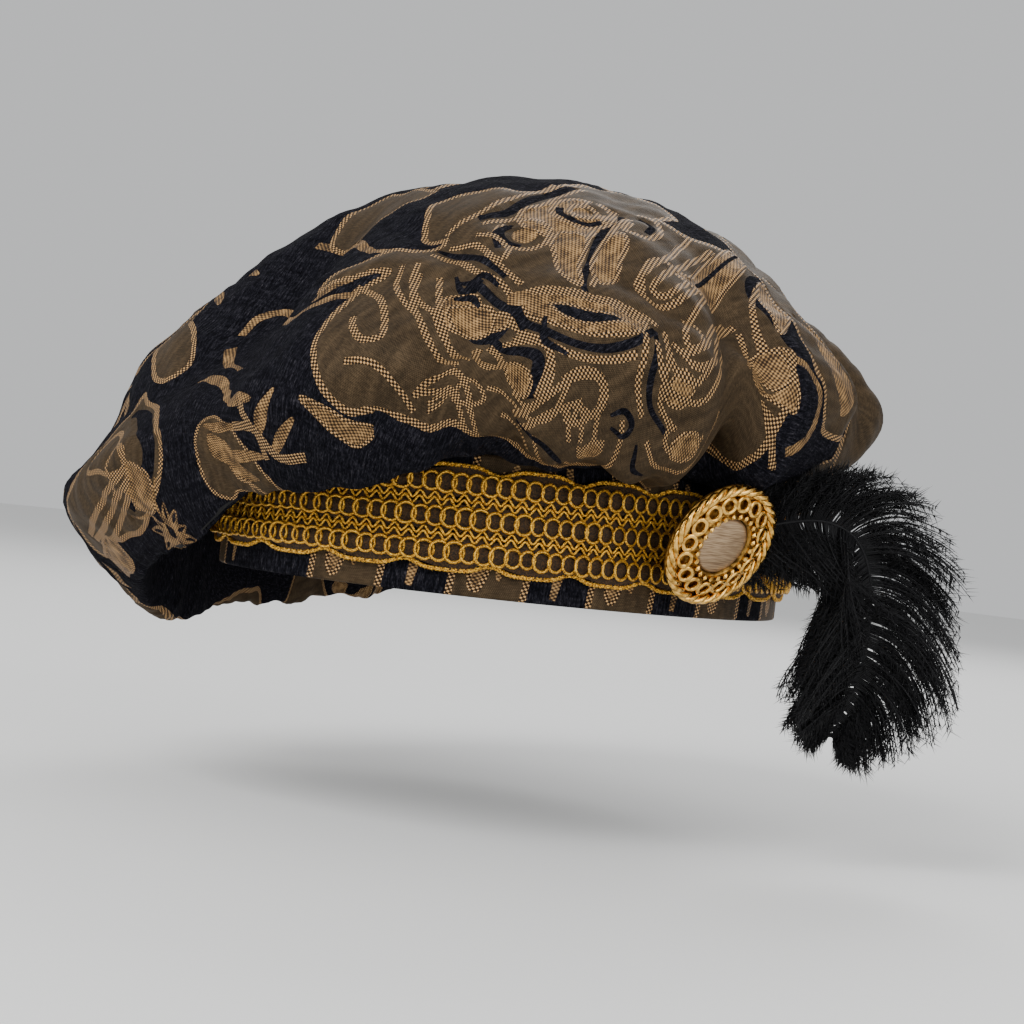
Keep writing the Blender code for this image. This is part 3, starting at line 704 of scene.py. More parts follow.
# %% The leaves and tassels on the back
back.band(
    GOLD, [2.5, 6, 8.5, 7.5, 7, 6, 5, 2], -94, 143, -99, 131, -103.5, 119, -104.5, 107, -102.5, 98,
    -98.5, 89, -95, 81, -96.5, 74,
)
back.band(
    GOLD, [6, 7, 6.5, 5.5, 5, 4, 0.8], -99, 112, -95.5, 104, -90, 97.5, -82, 94.5, -74, 92, -66.5, 87,
    -61, 79,
)
back.band(THREAD, 1.1, -71, 110, -75, 107, -79, 105.5, -82.5, 108, -81.5, 111.5, -78.5, 111)
back.band(THREAD, 1.4, -60, 110, -58, 104, -53, 102, -49, 103, -50, 106)
back.band(THREAD, 1.1, -8, 118, -14, 114, -16, 110)
back.band(THREAD, 1.1, 0, 110, -1, 104, -4, 101.5, -8, 103.5)
back.area(
    GOLD, 17.5, 88, 19, 93.5, 24, 97, 28.4, 93, 28.4, 78, 24, 74, 19, 76, 16.5, 80.5, 18.5, 84, edging=0.9,
)
back.area(
    GOLD, 30.2, 90.5, 32, 96.5, 38, 99.5, 43.5, 95, 44.5, 88.5, 43, 82, 41.5, 76, 35, 72, 31, 75, 30.2, 82,
    edging=0.9,
)
for run in (
    (17.5, 88, 23, 89.6, 28.4, 87), (17, 81, 22, 82.4, 28.4, 80), (30.2, 90.5, 36, 89.2, 44, 91),
    (30.2, 82.5, 36, 80.6, 43, 82.5),
):
    back.band(PILE, 1.0, *run)
back.band(GOLD, [2.5, 3, 3.4, 3, 2.2], 43, 86.5, 52, 86.5, 60, 90, 65, 97, 65, 103.5, 61, 106.5)
back.band(THREAD, 1.6, 39.5, 99, 38.5, 107, 34, 111, 29, 109.5, 27, 105.5, 30, 102, 33.5, 103)
back.band(THREAD, 1.8, 40, 100, 42, 107, 48, 112, 55, 113.5, 62, 110, 66, 114, 66, 119, 61, 120, 59, 116.5)
back.band(THREAD, 1.6, 57, 112, 57, 105.5, 52, 101, 47, 103, 46, 107.5, 50, 108.5)
back.area(
    GOLD, 19, 104, 19, 104, 20, 114, 24, 123, 30, 130, 37, 136, 46, 141, 52, 141, 50.5, 137, 57, 131.5,
    57, 131.5, 50, 131, 44, 132.5,
    47, 128, 47, 128, 40, 127, 34, 125.5, 33, 122, 39, 119, 39, 119, 35, 117, 29, 114.5, 23, 110.5,
    edging=1.0,
)
back.band(PILE, [1, 2.6, 2.6, 1.4], 19, 110, 21.5, 121, 29, 131, 40, 138.5, 54, 143.5)
back.ring(GOLD, 79, 107, 6.8, 3.0, 100, 290, 0.1)
back.area(
    SATIN, 41, 73, 39.5, 63, 39.5, 54.5, 39.5, 54.5, 52, 55.5, 66, 55, 80, 53.5, 95, 52, 108, 55, 122, 58,
    145, 62, 150, 78, 136, 92, 118, 98,
    105, 89, 90, 80, 75, 76, 60, 73, edging=1.2,
)
back.area(
    GOLD, 42, 72.5, 50, 76, 58, 79.5, 65, 76, 68, 82, 71, 87.5, 77, 89, 82, 85.5, 82, 81, 86, 82,
    88.5, 87.5, 93, 89.5, 98, 87, 106, 89, 106, 89,
    98, 82, 90, 78, 80, 74.5, 70, 71.5, 60, 70, 50, 70.5, edging=1.0,
)
for lobe in (
    (44, 70, 48, 64, 54, 61, 60, 62.5, 63.5, 67, 58, 70),
    (65, 68.5, 68, 63, 74, 60.5, 79, 63, 80.5, 68, 73, 70), (81, 67, 90, 65, 97, 69, 93, 74, 85, 71.5),
):
    back.area(GOLD, *lobe, edging=1.1)
back.band(THREAD, 1.4, 43, 72.5, 60, 69.8, 75, 71.3, 90, 77.5, 106, 88)
back.band(THREAD, 1.4, 41, 73, 40.5, 62, 39.5, 54)
back.band(
    GOLD, [3, 4, 5, 5, 3.2, 3, 4, 2.4, 1], 0.5, 73, 1.5, 62, 5, 56, 11, 52.5, 18, 54, 25, 57.5, 31, 61,
    28.5, 64, 23, 64,
)
back.band(GOLD, 2.6, 2, 74, 4, 81, 9, 84.5, 13.5, 80.5, 11, 76)
back.area(
    SATIN, 63, 9.5, 63, 20, 67, 26, 75, 28, 82, 27, 84, 33, 89, 38.5, 97, 40.5, 106, 37, 112, 31, 118, 35,
    119, 41, 126, 43.5, 138, 42, 150, 30, 152, 10, 140, 4, 112, 3, 90, 7, edging=1.3,
)
back.band(THREAD, 1.5, 66, 14, 78, 18, 80, 25, 88, 27, 98, 26.5, 107, 25, 118, 16)
back.band(THREAD, 1.5, 92, 12, 98, 20, 108, 17, 122, 24, 134, 20)
back.area(GOLD, 112, 10, 122, 14, 134, 12, 146, 20, 138, 28, 126, 24, 116, 20)
print("pieces on the back:", len(back.pieces))

# %% [markdown]
# The wearer's right has a scroll beside the rosette, a large gold and bronze leaf, and volutes. Only part of
# it shows, at the far edge of the crown, so its outer pieces are drawn as they would go on.

# %% The figure on the right
right_side = Figure()
right_side.area(
    SATIN, -158, 24, -134, 16, -112, 16, -96, 20, -85, 24, -74, 21.5, -79, 14, -73, 8, -72, 1, -77, -8,
    -74, -12, -67, -10, -63, -18, -59, -28,
    -56, -42, -56, -54, -60, -68, -67, -72, -65, -58, -65, -46, -68, -38, -75, -31, -85, -28, -95, -30,
    -104, -37, -112, -46, -134, -44, -150, -20, -162, 2, edging=1.3,
)
right_side.area(
    GOLD, -98, 55, -94.5, 59.5, -86, 58.5, -77, 53, -71, 44, -69, 34, -71.5, 26, -77, 22, -79, 30,
    -77.5, 38, -79.5, 47, -86, 53.5, -92, 55.5, -95.5, 52.5, -93.5, 49.5, -89.5, 49.5, -92, 47, -97, 49,
    edging=1.2,
)
right_side.band(PILE, [2, 2.6, 2.8, 2.6, 2], -82, 50, -80, 41, -83, 32.5, -91, 25, -101, 20.5, -116, 18)
right_side.area(
    GOLD, -86, 47, -86, 47, -82.5, 41, -84, 33, -92, 26.5, -102, 23, -118, 21.5, -116, 27, -105, 31,
    -105, 31, -103.5, 26.5, -98, 28.5, -94, 33, -92, 36.5, -87.5, 40, edging=1.0,
)
right_side.band(GOLD, [1.2, 2, 2, 1.4], -124, -9, -108, -6, -98, -3, -88, 3, -81, 9)
right_side.band(GOLD, [1.2, 2, 2, 1.4], -124, -30, -112, -18, -102, -13, -92, -11, -80, -12)
right_side.area(
    GOLD, -132, -2, -124, 8, -116, 13, -102, 17, -92, 14, -98, 8, -108, 6, -112, 0, -120, -3, edging=0.9,
)
right_side.area(
    GOLD, -128, -32, -116, -22, -104, -18, -90, -17, -76, -21, -84, -25, -96, -26, -106, -33, -118, -40,
    edging=0.9,
)
right_side.band(
    PILE, [1.5, 2.6, 2.8, 2.4, 2], -114, -43, -101, -33.5, -90, -28.5, -78, -28.5, -70, -35, -66, -44,
    -65, -57,
)
right_side.band(GOLD, [3, 3, 2.6, 2], -112, -47, -97, -36, -86, -32, -76, -34.5, -71, -41, -69, -52)
right_side.area(
    GOLD, -190, 84, -176, 96, -163, 107, -148, 113, -132, 110, -121, 108.5, -116.5, 101, -110, 95,
    -107.5, 89, -108, 85, -102, 80, -101.5, 75, -104, 70, -100.5, 63,
    -101, 54, -107, 47, -115, 45.2, -124, 48.5, -129.5, 54, -128.5, 60, -123, 62.5, -119, 60, -120.5, 55.5,
    -115, 54, -110, 58, -113, 64, -113, 69, -118, 70.5,
    -123, 76, -131, 71.5, -137, 74, -142, 79, -150, 79.5, -164, 77, -182, 76, edging=1.3,
)
right_side.band(PILE, 1.2, -112, 90, -124, 92, -138, 97, -152, 92)
right_side.band(PILE, 1.2, -114, 80, -128, 84, -144, 87, -160, 83)
right_side.band(
    GOLD, [2, 4.5, 4.5, 4, 3], -176, 66, -160, 72, -150, 69.5, -142, 64, -138.5, 57, -141, 50.5, -148, 47,
)
right_side.band(GOLD, [2, 3.6, 3], -160, 50, -153, 54.5, -146, 53, -143, 49)
right_side.band(GOLD, [3.6, 3, 2.4], -148, 47, -140, 45, -133, 41.5, -127.5, 45, -129.5, 50, -134.5, 50)
right_side.band(GOLD, [5, 4, 2], -168, 34, -154, 36, -146, 42, -147, 48)
right_side.area(SATIN, -176, 12, -168, 30, -152, 34, -160, 22, -170, 8, edging=1.2)
print("pieces on the right:", len(right_side.pieces))

# %% [markdown]
# The front left is the side that shows most: a large bronze medallion with gold double lines, volutes,
# an eye-shaped lens and scrolls, and below it sprigs and crescents on the black pile.

# %% The figure on the front left
front = Figure()
front.area(
    SATIN, 41, -27, 43.5, -22.5, 48, -21, 48.5, -14, 51, -12, 55, -14.5, 57.5, -13, 59.5, -9.5, 64, -8,
    69, -12, 72, -20, 73.5, -25, 80, -22, 84, -12, 92, 4, 104, 6,
    118, -2, 140, -12, 168, -20, 186, -30, 188, -60, 176, -92, 158, -120, 140, -138, 122, -148, 104, -149,
    88, -150, 76, -153, 68, -157.5, 60, -156, 52, -151.5,
    46, -145, 42.5, -135, 41, -122, 44, -112, 30, -120, 22, -124, 24, -116, 32, -104, 44, -97, 46, -90,
    37, -91, 29, -83, 22, -72, 31, -60, 42, -52, 44, -42, edging=1.5,
)
front.band(PILE, [4, 4, 3], 46, -36, 47, -48, 49, -60, 51, -70, 48, -78)
front.band(THREAD, 1.5, 50, -34, 51, -46, 54, -58, 56, -68, 52, -80)
front.band(THREAD, 1.5, 42, -40, 44, -52, 45, -64, 46, -76, 44, -88)
front.area(
    GOLD, 54, -66, 53, -58, 55.5, -48, 60, -42, 60, -42, 62, -48, 66.5, -56, 66.5, -56, 68.5, -47, 72, -38,
    72, -38, 76, -48, 78, -58, 73, -68, 63, -72, edging=1.2,
)
front.band(THREAD, 1.5, 70, -31, 74, -28, 80, -30, 84.5, -36, 85, -43, 80, -46, 77, -40)
front.band(PILE, [1.4, 2.4, 2.2], 73, -33, 79, -33, 83, -39)
front.band(PILE, [2.2, 2.6, 2.4, 2], 71, -38, 75, -48, 81, -58, 88, -67, 96, -77, 104, -80)
front.band(THREAD, 1.4, 68, -38, 72.5, -49, 78, -59, 85, -68, 93, -78)
front.band(THREAD, 1.4, 73.5, -37, 77.5, -47, 83.5, -57, 90.5, -66, 98, -75)
front.area(GOLD, 81, -49, 86, -50.5, 92, -58, 98.5, -66, 97.5, -71, 92, -70, 86, -63, 82, -56, edging=1.1)
front.area(GOLD, 71.5, -65, 77, -60, 81.5, -63, 88, -72, 96, -78.5, 88, -79.5, 80, -75, 74, -71, edging=1.1)
front.ring(THREAD, 65, -50, 10.0, 1.5, 110, -330, 0.06)
front.ring(PILE, 65, -50, 7.4, 2.6, 210, 160)
front.ring(THREAD, 65, -49.5, 4.4, 1.4, 90, 360)
front.area(GOLD, 62, -49, 65, -46.5, 68, -49, 66, -53, 63, -52.5)
front.ring(THREAD, 65, -75, 8.8, 1.5, 150, -330, 0.06)
front.ring(PILE, 64.5, -75.5, 6.2, 2.6, 170, 150)
front.area(GOLD, 62, -76, 64, -71.5, 68.5, -72, 69, -76.5, 65, -79)
front.band(PILE, [1.4, 3, 2], 58, -73, 60, -81, 66, -86)
print("pieces on the front left so far:", len(front.pieces))

# %% [markdown]
# In the medallion's middle lies a long lens, gold with a black slot, between black and gold lines that run
# on round the medallion. Over it stand long loops, and beside it small leaves.

# %% The lens on the front left
front.area(
    GOLD, 89, -96, 94, -88, 102, -80, 111, -73, 118.5, -69.5, 120, -76, 116, -84.5, 108.5, -92.5, 100, -98,
    94, -99, edging=1.0,
)
front.area(
    PILE, 96.5, -91.5, 96.5, -91.5, 103, -84.5, 110, -79, 116, -75.5, 116, -75.5, 113.5, -82, 108, -88,
    102, -92, edging=0.8,
)
front.band(PILE, 2.4, 88, -98, 95, -101, 104, -99, 112.5, -94, 119, -86, 122, -77, 121, -68)
front.band(THREAD, 1.5, 88, -101, 95, -104, 105, -102, 115, -96.5, 122, -87, 125, -78)
front.band(THREAD, 1.4, 86, -96, 94, -85, 103, -76.5, 113, -69.5, 120, -66)
front.band(
    THREAD, [1.5], 88, -12, 93, -24, 99, -38, 103, -50, 107, -57, 110, -54, 108, -46, 103, -34, 98, -20,
)
front.band(
    THREAD, [1.5], 82, -17, 88, -28, 95, -40, 99, -52, 103, -60, 111, -60, 113, -52, 109, -40, 104, -28,
    101, -18,
)
front.band(
    THREAD, [1.5], 106, -22, 111, -36, 118, -48, 124, -57, 129, -59, 129.5, -52, 123, -42, 118, -31,
    115, -24,
)
front.band(THREAD, [1.5], 116, -20, 121, -32, 127, -42, 134, -50, 134, -60, 126, -64)
front.band(PILE, [1.6, 2.4, 2.2, 1.8], 121, -68, 126, -71, 132, -75.5, 140, -77, 150, -72)
front.band(THREAD, 1.4, 122, -64.5, 128, -67.5, 134, -71.5, 142, -73, 150, -68)
front.band(THREAD, 1.4, 121, -72.5, 126, -76, 132, -80, 142, -81)
front.area(GOLD, 134, -64, 139, -62, 143, -66, 140, -71, 135, -69, edging=0.9)
print("pieces on the front left so far:", len(front.pieces))

# %% [markdown]
# Under the lens the cords turn into scrolls, and black shapes come through between them. The lower edge of
# the medallion meets the black ground there.

# %% The scrolls under the lens
front.band(THREAD, 1.4, 48, -98, 58, -96, 70, -97.5, 80, -96, 88, -98)
front.band(THREAD, 1.4, 50, -92, 60, -89, 70, -91, 84, -92)
front.band(THREAD, 1.4, 56, -86, 62, -83, 70, -85, 71, -90, 66, -92)
front.band(PILE, [1.4, 2.4, 1.6], 47, -94.5, 60, -93, 78, -93.5)
front.band(PILE, [1.4, 3, 3, 2], 66, -103, 74, -101, 84, -101.5, 92, -101, 98, -103)
front.band(PILE, [2.2, 4, 3], 73, -99, 74, -106, 79, -108)
front.band(PILE, [3.4, 4.4, 3], 84, -110, 87, -114.5, 92, -111, 92, -104)
front.band(
    PILE, [3, 3.2, 3.6, 4.6, 3.4, 2.6], 93, -112, 99, -111.5, 104, -108, 109, -106, 113, -109.5,
    116.5, -113, 115, -118,
)
front.area(GOLD, 76, -104, 70, -110, 72, -117, 80, -118.5, 85, -113, 82, -108, edging=1.1)
front.area(GOLD, 85, -107, 88, -103.5, 93, -104, 91, -108.5, 87, -110, edging=1.0)
front.band(THREAD, 1.8, 92, -117, 95, -122.5, 101, -124, 104.5, -119.5, 100, -115.5, 94, -114.5)
front.band(THREAD, 1.5, 98, -107.5, 102, -103.5, 108, -101.5, 114, -104, 119, -110, 119, -119, 114, -122)
front.band(
    THREAD, 1.5, 121, -128, 120, -112, 121, -98, 126, -91.5, 132.5, -95, 133.5, -103, 129.5, -107.5,
    126, -104,
)
front.band(THREAD, 1.5, 125, -128, 124.5, -114, 128, -100)
front.band(THREAD, 1.6, 38, -121, 52, -123, 62, -129.5, 66.5, -135, 62, -138.5, 55, -136.5, 51, -133)
front.band(THREAD, 1.4, 54, -108, 62, -118, 74, -124, 86, -129)
front.band(THREAD, 1.4, 60, -105, 70, -114, 82, -122, 92, -127)
front.area(SATIN, 100, -136, 104, -132, 110, -134, 108, -140, 102, -142, edging=1.2)
front.band(THREAD, 1.5, 86, -143, 88, -136, 95, -133.5, 104, -137, 110, -143)
front.band(THREAD, 1.4, 91, -143, 96, -139, 102, -142)
front.area(GOLD, 50, -160.5, 60, -159.5, 69, -160, 79, -158, 74, -166, 62, -164.5, edging=0.8)
front.area(
    PILE, 76, -153.5, 90, -151.5, 104, -151, 118, -150, 128, -146, 138, -142, 150, -150, 150, -190,
    96, -176,
)
print("pieces on the front left so far:", len(front.pieces))

# %% [markdown]
# Towards the top and the back the medallion ends in pointed leaves, and black ground shows between them.

# %% The leaves round the front left
front.area(
    GOLD, 88, 6, 88, 6, 84, 3, 89, -9, 95, -22, 102, -36, 100, -44, 108, -38, 111, -30, 104, -18, 97, -6,
    edging=1.0,
)
front.band(PILE, 1.4, 88, 0, 94, -12, 101, -26, 106, -36)
front.area(PILE, 96, 7, 100, -6, 108, -10, 118, -9.5, 130, -9, 134, -4, 128, 4, 120, 12, 108, 10)
front.area(GOLD, 100, 2, 108, -6, 118, -8, 124, -9, 116, 2, 106, 10, edging=0.9)
front.area(GOLD, 120, 16, 126, 6, 134, 2, 138, 3, 132, 12, 126, 20, edging=0.9)
front.area(PILE, 134, -4, 138, -1, 146, -2.5, 154, -2, 160, -8, 154, -10, 144, -11, 136, -10)
front.band(GOLD, [3, 3.4, 3.4, 3], 134, -8, 138, -1, 146, 1.5, 154, 1, 160, -6, 162, -10)
front.area(GOLD, 130, -11, 140, -12, 150, -12, 148, -20, 149, -27, 140, -25, 131, -21, edging=0.9)
front.area(SATIN, 138, -19, 142, -17, 146, -20, 142, -22.5)
front.band(THREAD, 1.5, 152, -22, 154, -18, 160, -16.5, 168, -13)
front.area(PILE, 162, -2, 168, -10, 176, -20, 186, -26, 196, -10, 196, 20, 180, 30, 166, 14)
for run in (
    (46, -108, 52, -116, 60, -120, 68, -121.5, 75, -125, 84, -128, 94, -131),
    (50, -105, 56, -113, 64, -117, 72, -118, 78, -121, 86, -123.5, 96, -127),
    (97, -111, 103, -104.5, 109, -102, 114, -106, 118, -114),
    (91, -119, 98, -123, 104, -121, 106, -117),
    (119, -103, 120, -96, 125, -91, 131.5, -92, 134, -97, 129, -102.5, 133, -106),
    (108, -130, 116, -126, 123, -120, 126, -112, 123, -105, 120, -100),
    (128, -106, 137, -110), (131, -101, 140, -106), (134, -96, 143, -101),
    (124, -70, 131, -72, 138, -69, 143, -60, 138, -49, 128, -37),
    (127, -66.5, 132, -67.5, 137.5, -61, 134, -51),
    (128, -64, 130.5, -59, 128, -52, 123, -50, 119, -54),
    (104, -51, 99.5, -42, 96, -47, 99, -55, 107, -61),
    (119, -20, 128, -22, 137, -26, 146, -30), (121, -16, 130, -18, 139, -22, 148, -26),
    (151, -22, 160, -17, 168, -12),
    (86, -141.5, 91, -139, 97, -141.5, 92, -145),
    (101, -140, 107, -145, 114, -150), (105, -137, 113, -144, 122, -150),
    (105, -76, 113, -73, 119, -69.5),
    (60, -146, 70, -142, 80, -143, 88, -147),
    (150, -46, 160, -52, 166, -64, 160, -76, 150, -80), (154, -56, 158, -64, 154, -72, 147, -70),
    (140, -88, 150, -92, 158, -100, 156, -112, 146, -116), (144, -97, 150, -102, 148, -109, 141, -107),
    (128, -122, 138, -126, 148, -124), (120, -134, 128, -130, 136, -132),
    (104, -4, 112, -12, 124, -16, 136, -16),
):
    front.band(THREAD, 1.3, *run)
front.area(GOLD, 74, -113.5, 79, -106, 85, -104.5, 89.5, -110, 87, -115, 81, -117, edging=0.9)
front.area(GOLD, 84, -96, 88, -93, 94, -95, 90, -99, 86, -100)
front.area(GOLD, 130.5, -21, 128.5, -16.5, 132, -12.5, 139, -12.5, 143.5, -18, 140, -23, edging=0.9)
front.area(GOLD, 152, -60, 158, -58, 161, -64, 157, -70, 152, -67, edging=0.9)
front.area(GOLD, 143, -100, 148, -99, 151, -104, 147, -108, 143, -105, edging=0.9)
front.area(GOLD, 104, -116, 111, -121, 116, -118, 113, -112, 107, -112, edging=0.9)
for run in (
    (63, -101, 71, -105, 72, -98, 79, -97), (71, -109, 75, -105, 80, -106), (100, -96, 106, -101, 114, -98),
    (137, -92, 138, -86.5, 143, -85, 145.5, -88.5, 141, -93), (123, -128, 132, -121, 142, -118, 150, -120),
    (150, -84, 158, -86, 166, -80),
):
    front.band(PILE, [1.2, 2.4, 2.4, 1.2], *run)
print("pieces on the front left:", len(front.pieces))

# %% [markdown]
# Below the front the cloth hangs in a slack roll. A sprig, curved leaves and two cartouches lie on it. They
# look squeezed on the worn hat, but they are drawn at their full size here, as they are on the flat cloth.

# %% The figure on the front and on the drape
drape = Figure()
drape.band(GOLD, [3, 4.5, 4, 2.4, 1.4], -32, -82, -16, -84, -4, -88.5, 6, -93.5, 15, -98, 26, -102, 38, -102)
drape.area(SATIN, -28, -64, -20, -60, -12, -70, -8, -82, -14, -84, -26, -80, edging=1.2)
drape.band(GOLD, [2, 3.4, 3, 3.4, 2.6], -2, -129, 8, -132, 20, -135, 28, -130, 36, -126, 43, -119, 44, -111)
drape.leaf(GOLD, 22, -128, 34, -118, 4.5)
drape.band(GOLD, [3.4, 3, 3.4, 1.4], -33, -125, -33, -117, -27, -112.5, -19, -114, -12, -120)
drape.band(GOLD, [4, 4, 3], -31, -132, -24, -140, -14, -146.5, -4, -149)
drape.band(GOLD, [3, 4, 4, 1.6], -28, -153, -16, -156, -2, -158, 6, -163)
for x0, y0, x1, y1, width in (
    (2, -160, 14, -167, 4.4), (12, -167, 30, -166, 5), (0, -181, 20, -177, 5), (9, -190.5, 34, -184, 5),
    (33, -177, 38.5, -161, 5), (40, -181, 48.5, -167, 4.6),
    (-66, -100, -54, -112, 4), (-60, -92, -46, -98, 4), (-74, -112, -62, -122, 4),
):
    drape.leaf(GOLD, x0, y0, x1, y1, width)
drape.band(THREAD, 2.2, 18, -177, 30, -175, 42, -181, 54, -178)
drape.band(THREAD, 2.2, 24, -168, 32, -176, 36, -184)
drape.area(
    SATIN, -72, -108, -65, -117, -52, -127, -45, -135, -42.5, -142, -48, -147.5, -57, -146, -66, -138,
    -76, -124, edging=1.4,
)
drape.area(
    SATIN, -64, -150, -57, -155, -45, -162, -33, -172, -25.5, -182, -25.5, -190, -33, -198, -45, -204,
    -60, -209, -80, -206, -104, -198, -130, -190, -128, -178, -100, -176, -80, -166, edging=1.5,
)
drape.band(PILE, [5, 6, 7, 6, 5], -66, -158, -54, -163, -42, -171, -33, -181, -34, -190, -44, -196, -58, -200)
drape.area(
    SATIN, -78, -170, -66, -168, -56, -174, -48, -181, -48, -187, -56, -188, -66, -184, -78, -180,
    edging=1.3,
)
for shift in (0, 4.5, 9):
    drape.band(
        THREAD, 1.6, (-112, -190 - shift * 0.6), (-90, -193 - shift), (-70, -192 - shift),
        (-54, -190 - shift * 0.8), (-46, -188 - shift * 0.5),
    )
drape.area(GOLD, -128, -194, -112, -196, -98, -198, -92, -204, -98, -212, -116, -208, -130, -202, edging=1.0)
drape.repeat(top.pieces[:8], 205, (-30, 75), (-96, -104), size=0.95)
drape.repeat(top.pieces[-26:], 110, (-61, 2), (-38, -214), size=0.9)
print("pieces on the drape:", len(drape.pieces))

# %% [markdown]
# A woven pattern repeats across the cloth. The parts that neither view of the hat shows are filled with
# turned copies of the drawn groups.

# %% The whole figure
figure = Figure()
figure.repeat(back.pieces, 118, (-20, 120), (-165, -92))
figure.repeat(right_side.pieces[:9], -60, (-100, 0), (-50, 205), size=0.95)
figure.repeat(front.pieces[:26], 150, (80, -70), (150, 125), size=0.95)
figure.repeat(right_side.pieces, 40, (-110, 10), (-236, 30), size=0.95)
figure.repeat(drape.pieces[:14], 55, (-30, -150), (-150, -190))
figure.repeat(back.pieces[:14], 30, (-40, 130), (60, 225), size=0.9)
figure.repeat(right_side.pieces[:12], 180, (-110, 0), (218, 40), size=0.85)
figure.repeat(back.pieces[-8:], 140, (100, 60), (10, -232), size=0.8)
figure.repeat(top.pieces[-26:], 20, (-61, 2), (60, -232), size=0.9)
print("pieces in the hidden parts:", len(figure.pieces))
figure.pieces += drape.pieces + front.pieces + right_side.pieces + back.pieces + top.pieces

# %% [markdown]
# Cloth whose figure is drawn in the mesh itself keeps crisp edges at any distance. A constrained
# triangulation does it: the outlines are given as edges that must be kept, and evenly spread points fill
# the ground between them. Each triangle then takes the cloth of the last piece that lies over it.

# %% Weave a figure into a flat mesh
def lies_in(outline, points):
    """Which points the outline goes round, also where it crosses itself."""
    x, y = points.T
    turns = np.zeros(len(points), int)
    for (x0, y0), (x1, y1) in zip(outline, np.roll(outline, -1, 0)):
        side = (x1 - x0) * (y - y0) - (x - x0) * (y1 - y0)
        turns += ((y0 <= y) & (y1 > y) & (side > 0)).astype(int) - ((y0 > y) & (y1 <= y) & (side < 0))
    return turns != 0


ROW_SHARE = 0.866


def weave(boundary, pieces, spacing, near=0.75, lines=()):
    """Flat points, triangles and each triangle's cloth, for a figure on a ground of pile."""
    runs = [(boundary, True)] + [(outline, True) for _, outline in pieces] + [(line, False) for line in lines]
    points = np.vstack([run for run, _ in runs])
    edges, start = [], 0
    for run, closed in runs:
        index = np.arange(start, start + len(run))
        pairs = np.column_stack([index, np.roll(index, -1)])
        edges.append(pairs if closed else pairs[:-1])
        start += len(run)
    low, high = boundary.min(0), boundary.max(0)
    rows = np.arange(low[1], high[1], spacing * ROW_SHARE)
    columns = np.arange(low[0], high[0], spacing)
    fill = np.array([(x + (i % 2) * spacing / 2, y) for i, y in enumerate(rows) for x in columns])
    fill = fill[lies_in(boundary, fill)]
    tree = KDTree(len(points))
    for i, (x, y) in enumerate(points):
        tree.insert((x, y, 0.0), i)
    tree.balance()
    fill = np.array([p for p in fill if tree.find((p[0], p[1], 0.0))[2] > near])
    everything = [Vector(p) for p in np.vstack([points, fill]).tolist()]
    verts, _, faces, *_ = delaunay_2d_cdt(everything, np.vstack(edges).tolist(), [], 0, 1e-3, False)
    verts = np.array([tuple(v) for v in verts])
    faces = np.array([f for f in faces if len(f) == 3])
    middle = verts[faces].mean(1)
    kept = lies_in(boundary, middle)
    faces, middle = faces[kept], middle[kept]
    cloth = np.zeros(len(faces), int)
    x, y = middle.T
    for name, outline in pieces:
        (x0, y0), (x1, y1) = outline.min(0), outline.max(0)
        near_by = np.nonzero((x > x0) & (x < x1) & (y > y0) & (y < y1))[0]
        if len(near_by):
            cloth[near_by[lies_in(outline, middle[near_by])]] = CLOTHS.index(name)
    used = np.unique(faces)
    renumber = np.full(len(verts), -1)
    renumber[used] = np.arange(len(used))
    return verts[used], renumber[faces], cloth


def within(pieces, reach_share):
    """The pieces that lie on the crown's cloth, cut off a little short of the seam."""
    kept = []
    for cloth, outline in pieces:
        heading = np.degrees(np.arctan2(outline[:, 0], -outline[:, 1])) % 360.0
        reach = np.hypot(outline[:, 0], outline[:, 1])
        limit = seam_reach(heading) * reach_share
        if (reach < limit).any():
            kept.append((cloth, outline * np.minimum(1.0, limit / np.maximum(reach, 1e-6))[:, None]))
    return kept


print(
    "pieces of the figure that lie on the crown:", len(within(figure.pieces, 1.0)), "of",
    len(figure.pieces),
)

# %% [markdown]
# Every finish is a Principled shader with a pattern worked out from the flat cloth's own coordinates, so
# that the threads follow the cloth round the folds. The small class below saves writing each node by hand.

